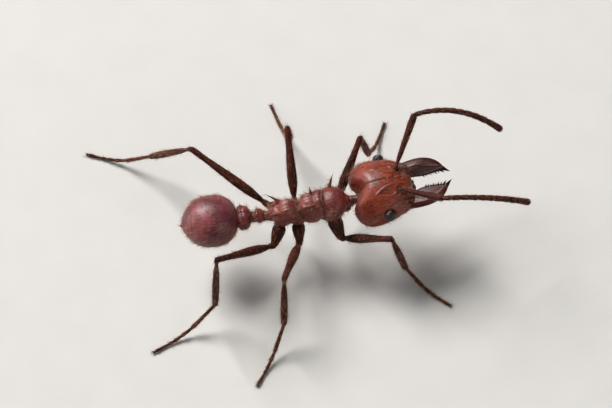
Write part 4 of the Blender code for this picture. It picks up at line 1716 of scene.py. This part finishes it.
# A broad knot with a dip down its middle, wrapped close to the gaster.
POSTPETIOLE = Knot(
    node="postpetiole",
    forms=(
        swept([(-1.86, 0, 2.45), (-1.98, 0, 2.46), (-2.15, 0, 2.49)], (0.19, 0.24, 0.3), 28),
        egg((-2.16, 0, 2.5), (0.26, 0.46, 0.36)),
        egg((-2.28, 0, 2.5), (0.2, 0.49, 0.36)),
        swept([(-2.12, 0, 2.5), (-2.34, 0, 2.5), (-2.5, 0, 2.51)], (0.34, 0.39, 0.33), 32, 0.86),
    ),
    points=(),
    details=(
        Seam(((-2.02, 0, 2.8), (-2.2, 0, 2.86), (-2.4, 0, 2.8)), 0.07, 0.03, 0.1, False),
        Seam(((-2.42, 0, 2.84), (-2.42, 0.3, 2.7), (-2.42, 0.4, 2.48), (-2.42, 0.3, 2.28)),
             0.02, 0.016, 0.45),
        Pit((-2.08, 0.4, 2.5), 0.028, 0.014, 0.8),
    ),
    voxel=0.015,
    grain=(0.16, 0.005, 32),
    ends=(-1.9, -2.47),
)


@dataclass
class Waist(HairyPart):
    """The two knots of the waist: the petiole and the broader postpetiole."""

    hairs: tuple[Hairs, ...] = (Hairs(170, 0.16, lift=58), Hairs(170, 0.16, lift=58))
    span: Two = (-2.7, -1.2)

    def build(self) -> None:
        """Makes both knots and adds them."""
        for knot in (PETIOLE, POSTPETIOLE):
            self.add_shell(f"{knot.node}_knot", knot.form(), THORAX_CUTICLE, Slot.THORAX, knot.node)


@dataclass
class Gaster(HairyPart):
    """The hind body: a great first plate above and below, and the rings of the last ones behind it."""

    axis: Place = (-3.42, 0, 2.55)
    half: Place = (1.03, 0.955, 0.855)
    margins: Row = (-0.58, -0.75, -0.87, -0.95)  # where each ring ends, as shares of the half length
    step: float = 0.034  # how far each ring lies under the one before it
    sides: int = 180  # points around it
    hairs: tuple[Hairs, ...] = (Hairs(950, 0.16, 0.012, 46), Hairs(300, 0.16, 0.012, 46))
    lie: Place = (-1, 0, 0)
    span: Two = (-4.7, -2.3)

    def section(self, share: Points) -> Points:
        """The gaster's girth at shares of its half length, squarer in front than behind."""
        return np.where(share > 0, rounded(share, 2.3), rounded(share, 2.0)) * (1 + 0.05 * share)

    def shell(self, shares: Points, inset: Points, tan: Points) -> Form:
        """A closed shell of rings from front to back, with the seam between upper and lower plates.

        Args:
            shares: Where each ring is.
            inset: How far each ring lies inside the gaster's girth.
            tan: How dark each ring is, or below 0 how pale.

        Returns:
            The form, in the ant's coordinates.
        """
        angle = np.arange(self.sides) / self.sides * TAU
        # The seam runs 0.43 radians under the widest line, sloping a little, with a ridge over it.
        low = np.arcsin(np.sin(angle)) + 0.1 * shares[:, None]
        under = 0.02 * ease(low, -0.4, -0.46)
        ridge = 0.006 * hump(low + 0.385, 0.035)
        girth = (self.section(shares) - inset)[:, None] - under + ridge
        along = np.broadcast_to(shares[:, None], girth.shape)
        rings = np.stack([along, girth * np.cos(angle), girth * np.sin(angle)], axis=2)
        ends = rings[[0, -1]].mean(axis=1)
        points = np.concatenate([ends[:1], rings.reshape(-1, 3), ends[1:]]) * self.half + self.axis
        shade = np.maximum(tan[:, None], 0.55 * hump(low + 0.43, 0.03)) + np.minimum(tan[:, None], 0)
        dark = np.concatenate([tan[:1], shade.ravel(), tan[-1:]])
        return Form(points, ring_faces(len(shares), self.sides, forward=False), dark)

    def first_plates(self) -> Form:
        """The first plates, whose hind margin is turned in, and the joint in front of them.

        Returns:
            The form, in the ant's coordinates.
        """
        margin = self.margins[0]
        lip = [margin + 0.03, margin, margin - 0.004, margin]
        shares = np.concatenate([np.cos(np.linspace(0.05, 2.13, 110)), lip])
        inset = np.zeros(len(shares))
        inset[-2:] = (0.012, 0.2)
        pale = -0.5 * ease(shares, margin + 0.03, margin + 0.008)
        neck = [(-2.4, 0, 2.51), (-2.52, 0, 2.51), (-2.7, 0, 2.52)]
        collar = swept(neck, (0.3, 0.36, 0.5), 48, 0.9).toned(0.35)
        return together([self.shell(shares, inset, pale), collar])

    def last_plates(self) -> Form:
        """The last plates, each under the margin of the one before it, and the sting's sheath.

        Returns:
            The form, in the ant's coordinates.
        """
        first = self.margins[0]
        shares = np.linspace(first + 0.1, -0.999, 150)
        inset = np.full(len(shares), self.step)
        # Painted shade: the last plates are darker where they pass under the first plates' margin.
        tan = 0.4 * ease(shares, first - 0.05, first)
        for margin in self.margins[1:]:
            inset = inset + self.step * 0.8 * ease(shares, margin + 0.002, margin - 0.006)
            past = margin - shares
            # Each margin turns pale like a thin film, and a band of painted shade lies just behind it, under
            # the edge.
            tan = tan - 0.6 * hump(past + 0.01, 0.009) + 0.75 * hump(past - 0.016, 0.012)
        inset = np.minimum(inset, self.section(shares) * 0.8)
        tan = np.maximum(tan, 0.6 * ease(shares, -0.96, -1.0))
        end = [(self.axis[0] + self.half[0] * share, 0, 2.47) for share in (-0.93, -1.0, -1.035)]
        sting = swept(end, (0.11, 0.055, 0.012), 16).toned(0.6)
        return together([self.shell(shares, inset, tan), sting])

    def build(self) -> None:
        """Makes the first plates and the last ones, and adds them."""
        self.add_shell("gaster_first_plates", self.first_plates(), GASTER_CUTICLE, Slot.GASTER, "gaster")
        self.add_shell("gaster_last_plates", self.last_plates(), GASTER_CUTICLE, Slot.GASTER, "gaster_tip")


# ---------------- legs


@dataclass(frozen=True)
class LegSizes:
    """The sizes and the stance of one pair of legs."""

    root: Place  # where the left coxa leaves the thorax, in the ant's coordinates
    aim: Place  # the direction of the coxa
    # Of the coxa, the femur with its trochanter, the tibia and the tarsus.
    lengths: tuple[float, float, float, float]
    thickness: float  # the coxa's greatest radius
    rise: float  # the height of the ankle
    splay: float  # how far the tarsus is turned out from the line to the hip, in degrees
    feet: tuple[Two, Two]  # where the left foot and the right foot stand
    spur: float  # the length of the spur at the end of the tibia
    spur_curl: float = 0.0  # how far the spur is bent


LEG_SIZES = {
    Pair.FORE: LegSizes(
        root=(1.0, 0.36, 2.25), aim=(0.2, 0.42, -0.88), lengths=(0.95, 2.5, 1.95, 2.0), thickness=0.27,
        rise=0.95, splay=6, feet=((3.3, 4.4), (4.65, -3.25)), spur=0.34, spur_curl=0.1,
    ),
    Pair.MID: LegSizes(
        root=(-0.28, 0.35, 2.16), aim=(-0.05, 0.62, -0.78), lengths=(0.72, 2.75, 2.2, 2.3), thickness=0.235,
        rise=1.05, splay=10, feet=((-0.7, 5.8), (-2.4, -5.4)), spur=0.24,
    ),
    Pair.HIND: LegSizes(
        root=(-0.92, 0.34, 2.2), aim=(-0.4, 0.6, -0.69), lengths=(0.8, 3.5, 2.9, 2.75), thickness=0.245,
        rise=1.15, splay=8, feet=((-7.6, 4.8), (-5.9, -3.6)), spur=0.26,
    ),
}


@dataclass
class Leg:
    """A leg of coxa, trochanter, femur, tibia and a tarsus of five segments with two claws."""

    place: Matrix  # where the ant's own coordinates lie in the frame
    pair: Pair
    side: Side
    # How far the coxa, the femur and the tibia reach past the joints at their ends.
    overlaps: Rows = ((0.06, 0.04), (0.05, 0.06), (0.03, 0.04))
    # The coxa's radius at shares of its length, as shares of its greatest.
    coxa_rows: Rows = ((0, 0.8), (0.25, 1), (0.55, 0.86), (0.85, 0.6))
    coxa_end: float = 0.13  # its radius at the trochanter
    # The radius of the trochanter and the femur at shares of their length.
    femur_rows: Rows = (
        (0, 0.1), (0.035, 0.125), (0.075, 0.115), (0.1, 0.078), (0.13, 0.1), (0.24, 0.155),
        (0.38, 0.175), (0.6, 0.145), (0.82, 0.112), (0.95, 0.112), (1, 0.1),
    )
    # The tibia's radius at shares of its length.
    tibia_rows: Rows = (
        (0, 0.085), (0.05, 0.09), (0.09, 0.07), (0.25, 0.098), (0.55, 0.125), (0.88, 0.118), (1, 0.1),
    )
    # Where the tarsus's segments meet, as shares of its length.
    tarsus_joints: Row = (0, 0.46, 0.62, 0.73, 0.81, 1)
    # The shape of one of them.
    tarsus_bead: Rows = (
        (0, 0.62), (0.1, 0.8), (0.5, 0.92), (0.86, 1.12), (0.97, 1.08), (1, 0.62),
    )
    tarsus_radii: Two = (0.076, 0.054)  # at its start and at its end
    tarsus_floor: Two = (0.09, 0.062)  # the height of its middle line where it lies flat
    sole_share: float = 0.42  # how much of it lies flat
    foot_height: float = 0.21  # how high the middle of the foot's solid lies
    foot_inset: float = 0.05  # how far the pad and the claws reach past the tarsus
    claw_length: float = 0.17
    claw_radius: float = 0.034
    # How the hairs of the coxa, femur, tibia and tarsus grow.
    hairs: tuple[Hairs, ...] = tuple(
        Hairs(count, length, 0.012, 38)
        for count, length in ((60, 0.17), (170, 0.17), (190, 0.17), (230, 0.12))
    )

    def joints(self) -> Points:
        """Works out where the leg is jointed, bends to the floor and stands.

        The knee is where the femur and the tibia meet above the line from the hip to the ankle.

        Returns:
            The places of its root, hip, knee, ankle, sole and foot, in the frame.
        """
        sizes = LEG_SIZES[self.pair]
        coxa, femur, tibia, tarsus = sizes.lengths
        root = self.side.place(sizes.root)
        hip = root + unit(self.side.place(sizes.aim)) * coxa
        foot = np.array((*sizes.feet[0 if self.side is Side.LEFT else 1], self.foot_height))
        home = Vector((hip - foot) * (1, 1, 0)).normalized()
        home.rotate(tilt(sizes.splay * self.side.value, "Z").to_3x3())
        home = np.array(home)
        ankle = foot + home * math.sqrt(tarsus**2 - sizes.rise**2)
        ankle[2] = sizes.rise
        span = ankle - hip
        reach = np.linalg.norm(span)
        along = (femur**2 - tibia**2 + reach**2) / (2 * reach)
        rising = unit(np.array((0, 0, 1.0)) - span * span[2] / reach**2)
        knee = hip + span / reach * along + rising * math.sqrt(femur**2 - along**2)
        sole = foot + home * self.sole_share * tarsus
        end = foot - home * self.foot_inset
        return np.array([root, hip, knee, ankle, sole, end]) + self.place.translation

    def tarsus_line(self, ankle: Points, sole: Points, foot: Points) -> Middle:
        """The tarsus's middle line, brought down so that its thin far end lies on the floor.

        Args:
            ankle: Where it starts.
            sole: Where it would meet the floor if it were straight.
            foot: Where it ends.

        Returns:
            The line.
        """
        points = bent(ankle, sole, foot)
        share = np.linspace(0, 1, len(points))
        thin = np.interp(share, (0, 1), self.tarsus_floor)
        over = points[:, 2] - foot[2] * ease(share, 0, 0.5) - thin
        soft = 0.03
        points[:, 2] = thin + (over + np.sqrt(over**2 + soft**2)) / 2
        return Middle(points)

    def claws(self, line: Middle) -> list[Form]:
        """The pad at the end of the tarsus, and its two claws.

        Args:
            line: The tarsus's middle line.

        Returns:
            The forms.
        """
        tip = line.points[-1]
        forward = unit((tip - line.points[-12]) * (1, 1, 0))
        across = np.cross((0, 0, 1), forward) * 0.75
        ways = [forward + aside + (0, 0, 0.35) for aside in (across, -across)]
        curl = forward * 0.05 - (0, 0, 0.1)
        pad = egg(tip + forward * 0.05, (0.06, 0.045, 0.04), sides=14)
        size = self.claw_length, self.claw_radius
        return [pad, *(Thorn(tip, way, *size, curl, 10).form() for way in ways)]

    def spur(self, ankle: Points, tibia: Middle, tarsus: Middle) -> Form:
        """The spur of the tibia, on a fore leg the curved comb that cleans the antenna.

        Args:
            ankle: Where the tibia ends.
            tibia: The tibia's middle line.
            tarsus: The tarsus's middle line.

        Returns:
            The form.
        """
        sizes, way = LEG_SIZES[self.pair], tibia.way()
        down = unit(tarsus.at(np.array([0.5]))[0] - ankle)
        under = unit(np.cross(np.cross(way, down), way))
        foot, curl = ankle - way * 0.1 + under * 0.06, (down - way) * sizes.spur_curl
        return Thorn(foot, way * 0.8 + under * 0.45, sizes.spur, 0.028, curl, 10).form()

    def build(self, coat: Coat) -> None:
        """Makes the leg's four pieces and their hairs, and adds the pieces.

        Args:
            coat: The coat of the legs.
        """
        thick = LEG_SIZES[self.pair].thickness
        root, hip, knee, ankle, sole, foot = self.joints()
        ends = (root, hip), (hip, knee), (knee, ankle)
        coxa, femur, tibia = (Middle.between(*two, *past) for two, past in zip(ends, self.overlaps))
        tarsus = self.tarsus_line(ankle, sole, foot)
        coxa_rows = [(share, radius * thick) for share, radius in self.coxa_rows] + [(1, self.coxa_end)]
        toes = beaded_form(tarsus, self.tarsus_joints, self.tarsus_radii, self.tarsus_bead)
        parts = (
            ("coxa", coxa, [limb_form(coxa, coxa_rows, blunt=0.7)]),
            ("femur", femur, [limb_form(femur, self.femur_rows, flat=0.86)]),
            ("tibia", tibia, [limb_form(tibia, self.tibia_rows), self.spur(ankle, tibia, tarsus)]),
            ("tarsus", tarsus, [toes, *self.claws(tarsus)]),
        )
        for (part, line, forms), hairs in zip(parts, self.hairs):
            name = f"leg_{self.pair.value}_{self.side.word}_{part}"
            form = together(forms)
            add_piece(f"{name}_shell", form, LEG_CUTICLE, Slot.LEGS, [name])
            coat.grow(form, hairs, line.lie, line.unwrap)


# ---------------- studio


@dataclass
class Studio:
    """A pale floor, soft lights and the camera, in millimetres, degrees and watts."""

    elevation: float = 61.0  # how steeply the camera looks down
    roll: float = 7.5  # how far the picture is turned, so that the head is the higher end
    height: float = 14.6  # how much the picture takes in upwards
    distance: float = 130.0  # from the camera to the ant
    sensor: float = 36.0  # the width of the camera's sensor
    aspect: float = 1.5  # the picture's width as a share of its height
    floor_half: float = 400.0  # half the length of its sides
    floor_drop: float = 0.004  # how far it lies under the feet, so that the two don't touch
    # The name of each light, its place from the ant, its size and its strength: the main one over the far
    # side, a broad weak one by the camera and a low one behind.
    lamps: tuple = (
        ("sky_light", (-100, 165, 230), 130, 1.34),
        ("fill_light", (155, -210, 130), 200, 0.2),
        ("rim_light", (-240, 65, 80), 130, 0.24),
    )
    room: str = "#E6E9EC"  # the colour of the light that the room gives back
    room_strength: float = 0.12  # how strong that light is

    def build(self) -> None:
        """Adds all of it."""
        middle = np.mean(SOLID_BOUNDS, axis=0) / MM
        self.floor(middle)
        for name, offset, size, watts in self.lamps:
            light = bpy.data.lights.new(name, "AREA")
            light.shape = "SQUARE"
            light.size = size * MM
            light.energy = watts
            lamp = placed(name, light)
            lamp.location = Vector((middle + offset) * MM)
            lamp.rotation_euler = (-Vector(offset)).to_track_quat("-Z", "Y").to_euler()
        self.camera(middle)
        world = bpy.data.worlds.new("soft_room")
        world.use_nodes = True
        glow = world.node_tree.nodes["Background"]
        glow.inputs["Color"].default_value = linear(self.room)
        glow.inputs["Strength"].default_value = self.room_strength
        bpy.context.scene.world = world
        bpy.context.scene.view_settings.view_transform = "Standard"

    def floor(self, middle: Points) -> None:
        """Lays the floor, a square of card.

        Args:
            middle: The ant's middle.
        """
        corners = np.array([(-1, -1, 0), (1, -1, 0), (1, 1, 0), (-1, 1, 0)]) * self.floor_half
        form = Form(corners + (middle[0], middle[1], -self.floor_drop), [(0, 1, 2, 3)])
        floor = placed("floor", mesh_of(form, "floor", MM))
        floor.data.materials.append(PALE_CARD.material())
        floor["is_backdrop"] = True

    def camera(self, middle: Points) -> None:
        """Sets the camera on the ant's right, high, looking across it with the head to the right.

        Args:
            middle: The ant's middle.
        """
        data = bpy.data.cameras.new("camera")
        data.sensor_width = self.sensor
        data.lens = self.sensor * self.distance / (self.height * self.aspect)
        data.clip_start = 1 * MM
        data.clip_end = 10
        rise = math.radians(self.elevation)
        back = Vector((0, -math.cos(rise), math.sin(rise)))
        look = (-back).to_track_quat("-Z", "Y").to_matrix().to_4x4()
        camera = placed("camera", data)
        camera.location = Vector(middle) * MM + back * self.distance * MM
        camera.rotation_euler = (look @ tilt(-self.roll, "Z")).to_euler()
        bpy.context.scene.camera = camera


def write_sizes() -> None:
    """Works out the box of the solids and the box of what shows, which nothing uses."""
    bounds = {"solids": SOLID_BOUNDS, "shown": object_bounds()}
    sizes = {name: [list(low), list(high)] for name, (low, high) in bounds.items()}


def main() -> None:
    """Builds the ant and its studio."""
    logging.basicConfig(level=logging.INFO, format="%(message)s")
    Studio().build()
    head = Head()
    head.build()
    antenna_coat = Coat("antenna_hairs", Slot.LEGS, seed=44)
    for side in Side:
        Eye(head, side).build()
        Jaw(head, side).build()
        Antenna(head, side).build(antenna_coat)
    antenna_coat.add()
    place = body_place()
    thorax, waist, gaster = Thorax(place), Waist(place), Gaster(place)
    for part in (thorax, waist, gaster):
        part.build()
    leg_coat = Coat("leg_hairs", Slot.LEGS, seed=45)
    for pair in Pair:
        for side in Side:
            Leg(place, pair, side).build(leg_coat)
    leg_coat.add()
    for coat, parts in (
        (Coat("head_hairs", Slot.HEAD, seed=41), (head,)),
        (Coat("thorax_hairs", Slot.THORAX, seed=42), (thorax, waist)),
        (Coat("gaster_hairs", Slot.GASTER, seed=43), (gaster,)),
    ):
        for part in parts:
            part.grow_hairs(coat)
        coat.add()
    write_sizes()


if __name__ == "__main__":
    main()
